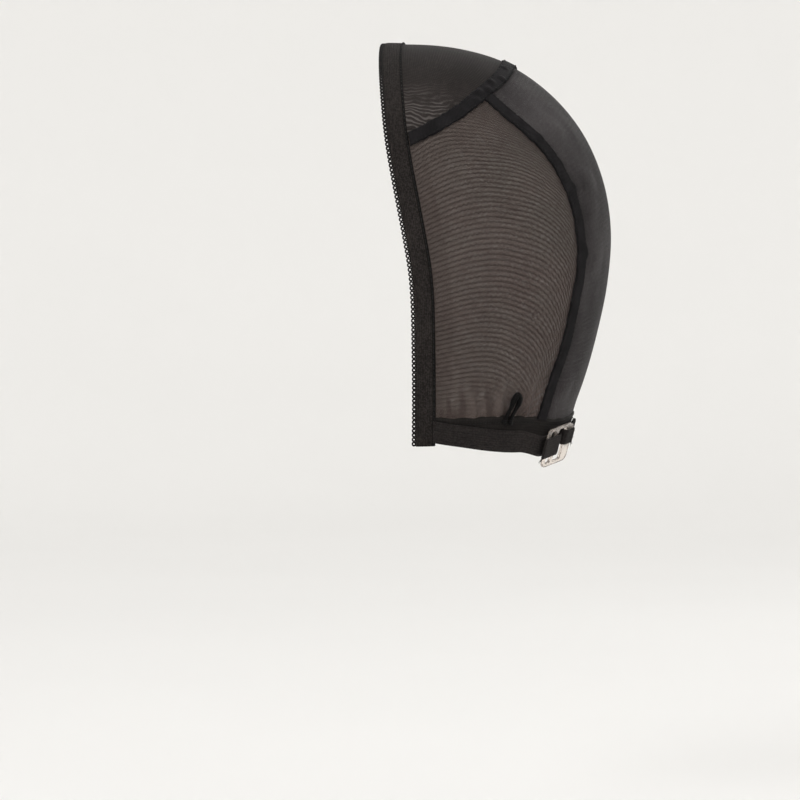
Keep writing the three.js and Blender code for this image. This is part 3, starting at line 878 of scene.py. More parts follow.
@dataclass(frozen=True)
class DoubleKnit(Finish):
    """Fine knit in two layers, nearly opaque, whose rows cross in soft wavy lines by its corners, with
    painted shade darkening it towards the top.
    """

    row: float = 1.15
    dark: Colour = (0.0105, 0.0082, 0.0075)
    light: Colour = (0.0255, 0.021, 0.0195)
    pale: Colour = (0.095, 0.084, 0.08)
    waves_and_top_shade: float = 1.0
    wave_pitch: float = 1.75
    corner_start: float = 0.05
    corner_full: float = 0.066

    def paint(self, paint: Paint) -> bpy.types.Material:
        """Paints the fine rows, the wavy lines where the two layers cross, and painted shade towards the
        top of the panel.

        Args:
            paint: the material to paint.

        Returns:
            The painted material.
        """
        along, across = paint.marks()
        place = paint.place()
        aside, _, up = paint.parts_of(place)
        corner = aside.size().rise(self.corner_start, self.corner_full)
        drift = paint.noise(place, 70.0, 2.0) * 9.0 + paint.noise(place, 240.0, 1.0) * 1.6
        lines = (up * 1000.0 + drift).wave(self.wave_pitch).rise(0.3, 1.0)
        broken = paint.mottled(place, 120.0, 0.3, 0.6)
        rows = across.wave(self.row) * along.wave(self.row * 1.1)
        share = rows * 0.25 + paint.mottled(place, 520.0, 0.3, 0.75) * 0.35
        share = share + paint.mottled(place, 30.0, 0.3, 0.7) * 0.4
        # Painted shade: darker towards the top of the crown.
        share = share - up.rise(-0.035, -0.005) * (0.3 * self.waves_and_top_shade)
        cloth = paint.mix(share + corner * 0.3, self.dark, self.light)
        colour = paint.mix(lines * broken * corner * (0.8 * self.waves_and_top_shade), cloth, self.pale)
        return paint.finish(
            Base_Color=colour, Roughness=0.85 - rows * 0.1, Normal=paint.bump(rows, 0.1 * MM),
            Sheen_Weight=0.05, Sheen_Roughness=0.45, Specular_IOR_Level=0.12,
        )


@dataclass(frozen=True)
class Yarn(Finish):
    """Twisted thread: rows of the knit, stitches, cords and loose strands."""

    dark: Colour = (0.018, 0.016, 0.015)
    light: Colour = (0.04, 0.036, 0.034)
    twist: float = 0.9
    gloss: float = 0.12

    def paint(self, paint: Paint) -> bpy.types.Material:
        """Paints the twist along the thread.

        Args:
            paint: the material to paint.

        Returns:
            The painted material.
        """
        along, across = paint.marks()
        place = paint.place()
        twist = (along + across * (self.twist / (2 * math.pi))).wave(self.twist)
        share = twist * 0.6 + paint.mottled(place, 700.0, 0.3, 0.8) * 0.4
        return paint.finish(
            Base_Color=paint.mix(share, self.dark, self.light), Roughness=0.8 - twist * 0.15,
            Normal=paint.bump(twist, 0.08 * MM), Sheen_Weight=0.04, Sheen_Roughness=0.4,
            Specular_IOR_Level=self.gloss,
        )


@dataclass(frozen=True)
class RibbedElastic(Finish):
    """Woven elastic: covered rubber cords lengthways, bound by weft across them."""

    cord: float = 0.8
    weft: float = 0.55
    seam: float = -9.0
    dark: Colour = (0.0065, 0.0054, 0.005)
    light: Colour = (0.034, 0.029, 0.027)

    def paint(self, paint: Paint) -> bpy.types.Material:
        """Paints cords and weft, with pale specks as painted glints where the weft catches the light, and
        painted shade along the stitched seam.

        Args:
            paint: the material to paint.

        Returns:
            The painted material.
        """
        along, across = paint.marks()
        place = paint.place()
        number = (across / self.cord).whole()
        cords = (across - self.cord / 2).wave(self.cord)
        weft = (along + number * (self.weft / 2)).wave(self.weft)
        relief = cords * 0.6 + weft * 0.4
        speck = paint.mottled(place, 1150.0, 0.4, 0.62)
        worn = paint.mottled(place, 60.0, 0.35, 0.7) * 0.2
        # Painted shade: darker along the line where the seam is stitched.
        seam_shade = (across - self.seam).size().rise(0.35, 1.0)
        colour = paint.mix((relief * 0.25 + speck * 0.5 + worn) * seam_shade, self.dark, self.light)
        return paint.finish(
            Base_Color=colour, Roughness=0.86 - relief * 0.2, Normal=paint.bump(relief, 0.2 * MM),
            Sheen_Weight=0.02, Sheen_Roughness=0.5, Specular_IOR_Level=0.07,
        )


@dataclass(frozen=True)
class SatinTape(Finish):
    """Narrow twill tape with a dull satin face."""

    rib: float = 0.45
    dark: Colour = (0.005, 0.0046, 0.005)
    light: Colour = (0.0185, 0.017, 0.0185)

    def paint(self, paint: Paint) -> bpy.types.Material:
        """Paints the slanted ribs of the twill.

        Args:
            paint: the material to paint.

        Returns:
            The painted material.
        """
        along, across = paint.marks()
        place = paint.place()
        ribs = (along + across * 0.6).wave(self.rib * 1.6)
        share = ribs * 0.35 + paint.mottled(place, 180.0, 0.3, 0.75) * 0.4
        return paint.finish(
            Base_Color=paint.mix(share, self.dark, self.light), Roughness=0.75 - ribs * 0.15,
            Normal=paint.bump(ribs, 0.08 * MM), Sheen_Weight=0.01, Specular_IOR_Level=0.05,
        )


@dataclass(frozen=True)
class ClearPlastic(Finish):
    """Clear moulded plastic, a little yellowed and scuffed."""

    tint: Colour = (0.95, 0.88, 0.82)
    milky: Colour = (0.9, 0.81, 0.74)

    def paint(self, paint: Paint) -> bpy.types.Material:
        """Paints faint clouds in the plastic and scuffs on its face.

        Args:
            paint: the material to paint.

        Returns:
            The painted material.
        """
        place = paint.place()
        sheen_and_fold_clouds = paint.mottled(place, 240.0, 0.35, 0.7)
        scuff = paint.mottled(place, 1500.0, 0.45, 0.8)
        return paint.finish(
            Base_Color=paint.mix(sheen_and_fold_clouds, self.tint, self.milky), Roughness=0.06 + scuff * 0.12,
            Normal=paint.bump(sheen_and_fold_clouds * 0.7 + scuff * 0.3, 0.03 * MM),
            Transmission_Weight=0.88, IOR=1.45, Specular_IOR_Level=0.5,
        )


SIDE_KNIT = SheerKnit("side_knit", "sheer_mesh", streak_and_fold_shade=1.0)
# The back knit's strong clouds are painted patches of sheen and fold shade.
BACK_KNIT = SheerKnit("back_knit", "sheer_mesh", mesh=0.42, open_share=0.22, row_open=0.1, row_tone=0.25,
                      fuzz=0.7, sheen_and_fold_clouds=1.05, dark=(0.019, 0.016, 0.0165), light=(0.047, 0.0415, 0.0425),
                      green=(0.041, 0.037, 0.0375))
CROWN_KNIT = DoubleKnit("crown_knit", "dense_mesh")
NAPE_KNIT = DoubleKnit("nape_knit", "dense_mesh", waves_and_top_shade=0.0, dark=(0.0048, 0.0044, 0.0038),
                       light=(0.0175, 0.0145, 0.0135))
SIDE_ROWS = Yarn("side_rows", "sheer_mesh", dark=(0.034, 0.026, 0.023), light=(0.066, 0.052, 0.047))
BAND_ELASTIC = RibbedElastic("band_elastic", "elastic", seam=10.05)
STRAP_ELASTIC = RibbedElastic("strap_elastic", "elastic", cord=1.1, weft=0.6, dark=(0.009, 0.0078, 0.0074),
                              light=(0.03, 0.0255, 0.0245))
PICOT_YARN = Yarn("picot_yarn", "elastic", dark=(0.006, 0.0055, 0.0053), light=(0.02, 0.018, 0.0175))
STITCH_YARN = Yarn("stitch_yarn", "elastic", dark=(0.004, 0.004, 0.004), light=(0.012, 0.011, 0.011),
                   twist=0.6)
LOOSE_YARN = Yarn("loose_yarn", "elastic")
TAPE_SATIN = SatinTape("tape_satin", "satin_tape")
LOOP_CORD = Yarn("loop_cord", "cord", dark=(0.002, 0.002, 0.002), light=(0.008, 0.0075, 0.0075), twist=0.7,
                 gloss=0.05)
CLEAR = ClearPlastic("clear", "clear_plastic")


@dataclass(frozen=True)
class RowFlow:
    """How the rows of the knit run over a panel, from its start to its end."""

    hump: float = 0.017
    hump_end: float = 0.55
    drop: float = 0.27
    bend: float = 3.6

    def shift(self, along: Array) -> Array:
        """How far a row has moved across by a share along, as a share of the panel's height."""
        up = np.sin(np.pi * np.clip(along / self.hump_end, 0, 1))
        return self.hump * up - self.drop * along ** self.bend


@dataclass
class KnitPanel:
    """A panel of open knit: a sheer ground with the rows of thread that stand on it."""

    pattern: CapPattern
    name: str
    node: str
    patch: Patch
    finish: SheerKnit
    flow: RowFlow
    flat: tuple[float, float]
    flat_area: float
    row_finish: Yarn | None = None
    height: float = 0.6 * MM
    cells: tuple[int, int] = (76, 110)
    thread: float = 0.19 * MM
    low_thread: float = 0.3
    low_reach: float = 30 * MM
    sway: float = 0.32
    stand: float = 0.6
    margin: float = 0.002
    shortest_run: int = 4
    samples: int = 250
    mirror: bool = False

    def folds(self, along: Array, across: Array) -> Array:
        """How far the cloth stands off the head in its folds."""
        return np.zeros_like(along)

    def marks(self, along: Array, across: Array) -> Array:
        """Surface coordinates of the panel.

        Args:
            along: shares along the panel.
            across: shares across it.

        Returns:
            Millimetres along the rows, and across them.
        """
        wide = np.interp(across, self.patch.rulers, self.patch.along_lengths) / MM
        tall = self.patch.start.length() / MM
        return np.stack([along * wide, (across - self.flow.shift(along)) * tall], -1)

    def lay(self, along: Array, across: Array) -> Array:
        """Points of the cloth at shares along and across the panel."""
        return FORM.lifted(self.patch.at(along, across), self.height + self.folds(along, across))

    def ground(self) -> bpy.types.Object:
        """Makes the sheer ground of the knit.

        Returns:
            The ground.
        """
        along, across = np.meshgrid(*(np.linspace(0, 1, count + 1) for count in self.cells), indexing="ij")
        parts = MeshParts()
        parts.add_sheet(self.lay(along, across), self.marks(along, across))
        return parts.made(self.name, self.finish, self.mirror)

    def rows(self) -> bpy.types.Object:
        """Makes the rows of thread, each swaying between the holes on its two sides.

        Returns:
            The rows, as one piece.
        """
        along = np.linspace(0, 1, self.samples)
        pitch, tall = self.finish.row, self.patch.start.length() / MM
        shift = self.flow.shift(along)
        parts = MeshParts()
        lowest = math.floor(-shift.max() * tall / pitch)
        highest = math.ceil((1 - shift.min()) * tall / pitch)
        for number in range(lowest, highest + 1):
            across = number * pitch / tall + shift
            wide = np.interp(np.clip(across, 0, 1), self.patch.rulers, self.patch.along_lengths) / MM
            turn = 2 * np.pi * (along * wide / self.finish.stitch + number / 2)
            across = across + self.sway * np.cos(turn) / tall
            inside = np.flatnonzero((across > self.margin) & (across < 1 - self.margin))
            for run in np.split(inside, np.flatnonzero(np.diff(inside) > 1) + 1):
                if len(run) < self.shortest_run:
                    continue
                path = self.lay(along[run], across[run])
                out = FORM.normals(path)
                thinner = smoothly(0, self.low_reach, across[run] * tall * MM)
                thread = self.thread * blend(self.low_thread, 1, thinner)
                parts.add_tube(path + out * thread[:, None] * self.stand, out, thread, sides=3, flat=0.8)
        return parts.made(f"{self.name}_rows", self.row_finish, self.mirror)

    def build(self) -> None:
        """Makes the panel in place of its plain solid."""
        ground = self.ground()
        rows = [self.rows()] if self.row_finish else []
        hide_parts(self.node)


@dataclass
class SidePanel(KnitPanel):
    """The sheer panel over one side of the head, gathered over the nape band."""

    gather_rise: float = 1.2 * MM
    gather_sunk: float = 0.025
    gathers: tuple[tuple[float, float, float, float], ...] = (
        (0.18, 0.05, 0.45, 0.16), (0.33, 0.05, 0.72, 0.22), (0.43, 0.04, 0.6, 0.18),
        (0.53, 0.045, 1, 0.26), (0.8, 0.04, 1, 0.28), (0.88, 0.03, 0.8, 0.24),
    )

    def folds(self, along: Array, across: Array) -> Array:
        """The gathers, which lean to the back as they rise.

        Args:
            along: shares along the panel.
            across: shares across it.

        Returns:
            How far the cloth stands off the head.
        """
        total = np.zeros_like(along)
        for place, wide, tall, reach in self.gathers:
            total = total + tall * ridge(along - place, wide) * ridge(across, reach)
        return total * self.gather_rise * smoothly(0.0, self.gather_sunk, across)


@dataclass
class BackPanel(KnitPanel):
    """The finer panel down the back of the head, puckered beside its tapes."""

    pucker_rise: float = 1.15 * MM
    pucker_start: float = 0.05
    puckers: tuple[tuple[float, float, float, float], ...] = (
        (0.2, 0.045, 0.6, 0.2), (0.36, 0.05, 1, 0.24), (0.43, 0.04, 0.7, 0.2), (0.56, 0.06, 0.7, 0.22),
        (0.9, 0.06, 0.85, 0.2),
    )

    def folds(self, along: Array, across: Array) -> Array:
        """The puckers, which fade away from each tape.

        Args:
            along: shares along the panel.
            across: shares across it.

        Returns:
            How far the cloth stands off the head.
        """
        from_tape = np.minimum(along, 1 - along)
        total = np.zeros_like(along)
        for place, wide, tall, reach in self.puckers:
            fade = ridge(from_tape - self.pucker_start - reach / 2, reach / 2)
            total = total + tall * ridge(1 - across - place, wide) * fade
        return total * self.pucker_rise


@dataclass
class CrownPanel:
    """The doubled, nearly opaque panel over the top front of the head."""

    pattern: CapPattern
    tip: float = 0.012
    low: float = 0.15 * MM
    high: float = 0.95 * MM
    under_band: float = 1.2 * MM
    under_tape: float = 0.8 * MM
    cells: tuple[int, int] = (120, 60)
    flat: tuple[float, float] = (0.2, 0.05)
    flat_area: float = 0.0065

    def build(self) -> None:
        """Makes the panel in place of its plain solid."""
        pattern = self.pattern
        front = pattern.band_rear.part(pattern.crown_join, 1 - pattern.crown_join)
        seam = pattern.crown_seam
        tips = (self.tip, 1 - self.tip)
        ends = [SeamLine.through(np.stack([front.at(tip), seam.at(tip)])) for tip in tips]
        patch = Patch(front.part(self.tip, 1 - self.tip), seam.part(self.tip, 1 - self.tip), *ends,
                      near_room=-self.under_band, far_room=-self.under_tape)
        along, across = np.meshgrid(*(np.linspace(0, 1, count + 1) for count in self.cells), indexing="ij")
        points = patch.at(along, across)
        wide, tall = patch.along_lengths.max() / MM, patch.across_lengths.max() / MM
        parts = MeshParts()
        marks = np.stack([along * wide, across * tall], -1)
        parts.add_wall(FORM.lifted(points, self.low), FORM.lifted(points, self.high), marks.reshape(-1, 2))
        made = parts.made("crown_panel_knit", CROWN_KNIT)
        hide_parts("crown_panel")


@dataclass
class StitchRow:
    """A row of stitches that stands on a band or tape along a seam."""

    line: SeamLine
    distance: float
    height: float
    pitch: float = 2.4 * MM
    long: float = 1.7 * MM
    thread: float = 0.2 * MM
    start: float = 0.0
    end: float = 1.0

    def sew(self, parts: MeshParts) -> None:
        """Adds the stitches to a mesh.

        Args:
            parts: the mesh.
        """
        total = self.line.length()
        count = int((self.end - self.start) * total / self.pitch)
        steps = np.linspace(-0.5, 0.5, 6)
        middles = self.start + (np.arange(count) + 0.5) * self.pitch / total
        shares = middles[:, None] + steps * self.long / total
        sides = np.full(shares.shape, self.distance)
        rise = self.height + self.thread * (2.2 * np.cos(np.pi * steps) - 1.2)
        places = self.line.beside(shares, sides)
        out = FORM.normals(places)
        paths = places + out * rise[:, None]
        for path, way in zip(paths, out):
            parts.add_tube(path, way, self.thread, sides=5)


@dataclass
class FrontBand:
    """The ribbed elastic round the face, with a picot edge of small rings."""

    pattern: CapPattern
    thick: float = 1.6 * MM
    picot_wide: float = 2.1 * MM
    picot_pitch: float = 2.05 * MM
    ring_half_long: float = 0.76 * MM
    ring_half_wide: float = 0.7 * MM
    ring_thread: float = 0.42 * MM
    picot_lap: float = 0.35 * MM
    low: float = 0.08 * MM
    edge: float = 0.7 * MM
    rib: float = 0.06 * MM
    rib_pitches: tuple[float, float] = (1.1 * MM, 1.6 * MM)
    seam_in: float = 0.75 * MM
    slack: float = 0.92
    columns: int = 18
    steps: int = 1100

    def body(self) -> bpy.types.Object:
        """Makes the ribbed tape behind the picot edge.

        Returns:
            The tape.
        """
        line, wide = self.pattern.front_edge, self.pattern.front_band_wide
        sides = np.linspace(self.picot_wide - self.picot_lap, wide, self.columns)
        share, side = np.meshgrid(np.linspace(0, 1, self.steps), sides, indexing="ij")
        points = line.beside(share, side)
        travel = share * line.length()
        from_edge = np.minimum(side - side.min(), wide - side)
        round_off = np.sqrt(np.clip(from_edge / self.edge, 0, 1))
        along_pitch, across_pitch = self.rib_pitches
        ribs = np.cos(2 * np.pi * travel / along_pitch) * np.cos(2 * np.pi * side / across_pitch)
        high = self.thick * blend(0.55, 0.93, round_off) + self.rib * ribs * round_off
        low = np.full_like(high, self.low)
        parts = MeshParts()
        marks = np.stack([travel, side], -1).reshape(-1, 2) / MM
        parts.add_wall(FORM.lifted(points, low), FORM.lifted(points, high), marks)
        return parts.made("front_band_tape", BAND_ELASTIC)

    def picots(self) -> bpy.types.Object:
        """Makes the picot edge, a ring at each pitch.

        Returns:
            The rings, as one piece.
        """
        line = self.pattern.front_edge
        count = int(line.length() / self.picot_pitch)
        turns = np.linspace(0, 2 * np.pi, 14, endpoint=False)
        middles = (np.arange(count) + 0.5) / count
        shares = middles[:, None] + np.sin(turns) * self.ring_half_long / line.length()
        sides = self.ring_half_wide + self.ring_thread - np.cos(turns) * self.ring_half_wide
        places = line.beside(shares, np.broadcast_to(sides, shares.shape))
        out = FORM.normals(places)
        parts = MeshParts()
        for path, way in zip(places + out * self.thick * 0.5, out):
            parts.add_tube(path, way, self.ring_thread, sides=6, closed=True, flat=1.3)
        return parts.made("front_band_picots", PICOT_YARN)

    def seam(self) -> bpy.types.Object:
        """Makes the row of stitches by the rear edge.

        Returns:
            The stitches, as one piece.
        """
        line, wide = self.pattern.front_edge, self.pattern.front_band_wide
        parts = MeshParts()
        height = self.thick * 0.95
        StitchRow(line, wide - self.seam_in, height, thread=0.24 * MM, long=1.9 * MM).sew(parts)
        return parts.made("front_band_stitches", STITCH_YARN)

    def build(self) -> None:
        """Makes the band in place of its plain solid."""
        body = self.body()
        sewn_on = [self.picots(), self.seam()]
        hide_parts("front_band")
        wide, long = self.pattern.front_band_wide, self.pattern.front_edge.length() * self.slack
        (wide - self.picot_wide) * long


@dataclass
class NapeBand:
    """The dense band that closes the lower edge of the cap, with a corded hem on top."""

    pattern: CapPattern
    wide: float = 10 * MM
    thick: float = 1.0 * MM
    hem: float = 1.5 * MM
    hem_rise: float = 0.35 * MM
    above_seam: float = 0.9 * MM
    low: float = 0.1 * MM
    edge: float = 0.8 * MM
    seams_in: tuple[float, float] = (0.5 * MM, 1.1 * MM)
    hem_sway: float = 0.22 * MM
    hem_sway_pitch: float = 9.5 * MM
    slack: float = 0.92
    under_band: float = -1.5 * MM
    columns: int = 17
    steps: int = 300

    def build(self) -> None:
        """Makes the band in place of its plain solid."""
        line = self.pattern.nape_seam
        sides = np.linspace(-self.above_seam, self.wide, self.columns)
        start = self.pattern.clear_of_band(line, sides, self.under_band)
        share = blend(start, 1 - start, np.linspace(0, 1, self.steps)[:, None])
        sway = self.hem_sway * np.sin(2 * np.pi * share * line.length() / self.hem_sway_pitch)
        side = sides - sway * np.clip(-sides / self.above_seam, 0, 1)
        points = line.beside(share, side)
        edge = np.sqrt(np.clip((self.wide - side) / self.edge, 0, 1))
        cord = ridge(side - (self.hem - self.above_seam) / 2, (self.hem + self.above_seam) / 2)
        high = self.thick * blend(0.6, 1, edge) + self.hem_rise * cord
        parts = MeshParts()
        marks = np.stack([share * line.length(), side], -1).reshape(-1, 2) / MM
        parts.add_wall(FORM.lifted(points, self.low), FORM.lifted(points, high), marks)
        made = parts.made("nape_band_knit", NAPE_KNIT)
        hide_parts("nape_band")
        sewing = MeshParts()
        for distance in (self.hem + self.seams_in[0], self.wide - self.seams_in[1]):
            StitchRow(line, distance, self.thick, start=0.01, end=0.99).sew(sewing)
        stitches = sewing.made("nape_band_stitches", STITCH_YARN)
        self.wide + self.above_seam
        line.length() * self.slack


@dataclass
class SeamTape:
    """A narrow tape over a seam, sewn along both edges."""

    line: SeamLine
    name: str
    nodes: tuple[str, ...]
    wide: float
    ends: Array | None = None
    bumps: tuple[tuple[float, float, float], ...] = ()
    knots: tuple[tuple[float, float], ...] = ()
    low: float = 1.05 * MM
    thick: float = 0.85 * MM
    dip: float = 0.0
    dip_long: float = 4 * MM
    knuckle: float = 0.1 * MM
    knuckle_pitch: float = 2.1 * MM
    uneven: float = 0.24 * MM
    uneven_pitches: tuple[float, float, float] = (12.7 * MM, 6.9 * MM, 4.1 * MM)
    knot_rise: float = 0.7 * MM
    knot_long: float = 2.6 * MM
    seam_in: float = 0.75 * MM
    columns: int = 17
    steps: int = 420
    mirror: bool = False

    def build(self) -> None:
        """Makes the tape in place of its plain solid."""
        half, total = self.wide / 2, self.line.length()
        part = np.linspace(0, 1, self.steps)
        column = np.linspace(-1, 1, self.columns)
        bumped = np.zeros_like(part)
        for down, long, out in self.bumps:
            bumped = bumped + out * self.wide * ridge(part - down, long)
        wave = self.knuckle * np.cos(2 * np.pi * part * total / self.knuckle_pitch)
        side = (half - self.knuckle) * column + wave[:, None] * column * np.abs(column)
        for number, pitch in enumerate(self.uneven_pitches):
            for toward in (-1, 1):
                turn = np.sin(2 * np.pi * part * total / pitch + number + toward)
                side = side + self.uneven / 2 * turn[:, None] * np.clip(toward * column, 0, 1)
        side = side - bumped[:, None] * np.clip(-column, 0, 1)
        if self.ends is None:
            share = np.broadcast_to(part[:, None], side.shape)
        else:
            start = np.interp(column * half, np.linspace(-half, half, len(self.ends)), self.ends)
            share = blend(start, 1 - start, part[:, None])
        points = self.line.beside(share, side)
        edge = np.sqrt(np.clip((1 - np.abs(column)) / 0.14, 0, 1))
        lumps = np.zeros_like(side)
        for place, across in self.knots:
            knot = np.outer(ridge(part - place, self.knot_long / total), ridge(column - across, 0.9))
            lumps = lumps + self.knot_rise * knot
        low = self.low - self.dip * (1 - smoothly(0, self.dip_long, part * total))[:, None]
        high = low + self.thick * blend(0.45, 1, edge) + lumps
        parts = MeshParts()
        marks = np.stack([share * total, side], -1).reshape(-1, 2) / MM
        parts.add_wall(FORM.lifted(points, low + 0 * side), FORM.lifted(points, high), marks)
        made = parts.made(f"{self.name}_satin", TAPE_SATIN, self.mirror)
        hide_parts(*self.nodes)
        sewing = MeshParts()
        for distance in (self.seam_in - half, half - self.seam_in):
            StitchRow(self.line, distance, self.low + self.thick, pitch=2.1 * MM, long=1.4 * MM,
                      thread=0.16 * MM, start=0.01, end=0.99).sew(sewing)
        sewing.made(f"{self.name}_stitches", STITCH_YARN, self.mirror)


@dataclass
class StrapSlide:
    """The clear slide at the nape: two rails joined by three bars, and the frame it sits in."""

    long: float = 23 * MM
    tall: float = 19 * MM
    thick: float = 1.4 * MM
    corner: float = 3.4 * MM
    rail: float = 1.9 * MM
    top_rail: float = 1.2 * MM
    left_bar: float = 2.2 * MM
    left_slot: float = 4.3 * MM
    middle_bar: float = 2.6 * MM
    right_bar: float = 7 * MM
    slot_corner: float = 0.7 * MM
    tilt: float = math.radians(9.5)
    lean: float = math.radians(8)
    place: tuple[float, float] = (0.712, -1.162)
    strap_middle: float = 1.8 * MM
    ply_radius: float = 1.5 * MM
    bevel: float = 0.35 * MM

    def __post_init__(self) -> None:
        """Works out where the slide sits and which way it faces."""
        seat = FORM.places([self.place])[0]
        out = FORM.normals(seat[None])[0]
        level = unit(np.cross([0.0, 0.0, 1.0], out))
        rise = np.cross(out, level)
        self.along = level * math.cos(self.tilt) + rise * math.sin(self.tilt)
        up = np.cross(out, self.along)
        self.out = out * math.cos(self.lean) - up * math.sin(self.lean)
        self.up = np.cross(self.out, self.along)
        self.centre = seat + out * (self.strap_middle + self.ply_radius)

    @property
    def slots(self) -> tuple[tuple[float, float], tuple[float, float]]:
        """Where the slots are.

        Returns:
            Where each one starts and ends along the slide.
        """
        left = self.left_bar - self.long / 2
        bar = left + self.left_slot
        return (left, bar), (bar + self.middle_bar, self.long / 2 - self.right_bar)

    def at(self, along: Array, up: Array, out: Array) -> Array:
        """Points in the slide's own frame.

        Args:
            along: how far along the slide.
            up: how far up its bars.
            out: how far out of its face.

        Returns:
            The points.
        """
        ways = (along, self.along), (up, self.up), (out, self.out)
        return self.centre + sum(np.asarray(far)[..., None] * way for far, way in ways)

    @staticmethod
    def rounded(left: float, right: float, low: float, high: float, corner: float) -> Array:
        """The outline of an oblong with rounded corners.

        Args:
            left: where it starts.
            right: where it ends.
            low: its lower edge.
            high: its upper edge.
            corner: the radius of its corners.

        Returns:
            Points round it.
        """
        turns = np.linspace(0, np.pi / 2, 9)
        corners = [(right - corner, low + corner, -np.pi / 2), (right - corner, high - corner, 0),
                   (left + corner, high - corner, np.pi / 2), (left + corner, low + corner, np.pi)]
        return np.vstack([
            np.stack([x + corner * np.cos(start + turns), y + corner * np.sin(start + turns)], -1)
            for x, y, start in corners
        ])

    def build(self) -> None:
        """Makes the slide in place of its plain solid, with its edges eased."""
        half_long, half_tall = self.long / 2 - self.bevel, self.tall / 2 - self.bevel
        slot_low = self.rail - self.tall / 2 - self.bevel
        slot_high = self.tall / 2 - self.top_rail + self.bevel
        slot_corner = self.slot_corner + self.bevel
        outlines = [self.rounded(-half_long, half_long, -half_tall, half_tall, self.corner - self.bevel)]
        outlines += [self.rounded(start - self.bevel, end + self.bevel, slot_low, slot_high, slot_corner)
                     for start, end in self.slots]
        curve = bpy.data.curves.new("slide_outline", "CURVE")
        curve.dimensions, curve.fill_mode = "2D", "BOTH"
        curve.extrude = self.thick / 2 - self.bevel
        curve.bevel_depth, curve.bevel_resolution = self.bevel, 3
        for outline in outlines:
            spline = curve.splines.new("POLY")
            spline.points.add(len(outline) - 1)
            flat = np.tile([0.0, 0.0, 0.0, 1.0], (len(outline), 1))
            flat[:, :2] = outline
            spline.points.foreach_set("co", flat.ravel())
            spline.use_cyclic_u = True
        drawn = bpy.data.objects.new("slide_outline", curve)
        mesh = bpy.data.meshes.new_from_object(drawn)
        bpy.data.objects.remove(drawn)
        mesh.name = "strap_slide_clear"
        places = np.zeros(len(mesh.vertices) * 3)
        mesh.vertices.foreach_get("co", places)
        mesh.vertices.foreach_set("co", self.at(*places.reshape(-1, 3).T).ravel())
        mesh.materials.clear()
        mesh.materials.append(CLEAR.material())
        made = bpy.data.objects.new("strap_slide_clear", mesh)
        bpy.context.scene.collection.objects.link(made)
        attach(made, BODY)
        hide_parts("strap_slide")
        LOG.info("strap_slide_clear: %d faces", len(mesh.polygons))


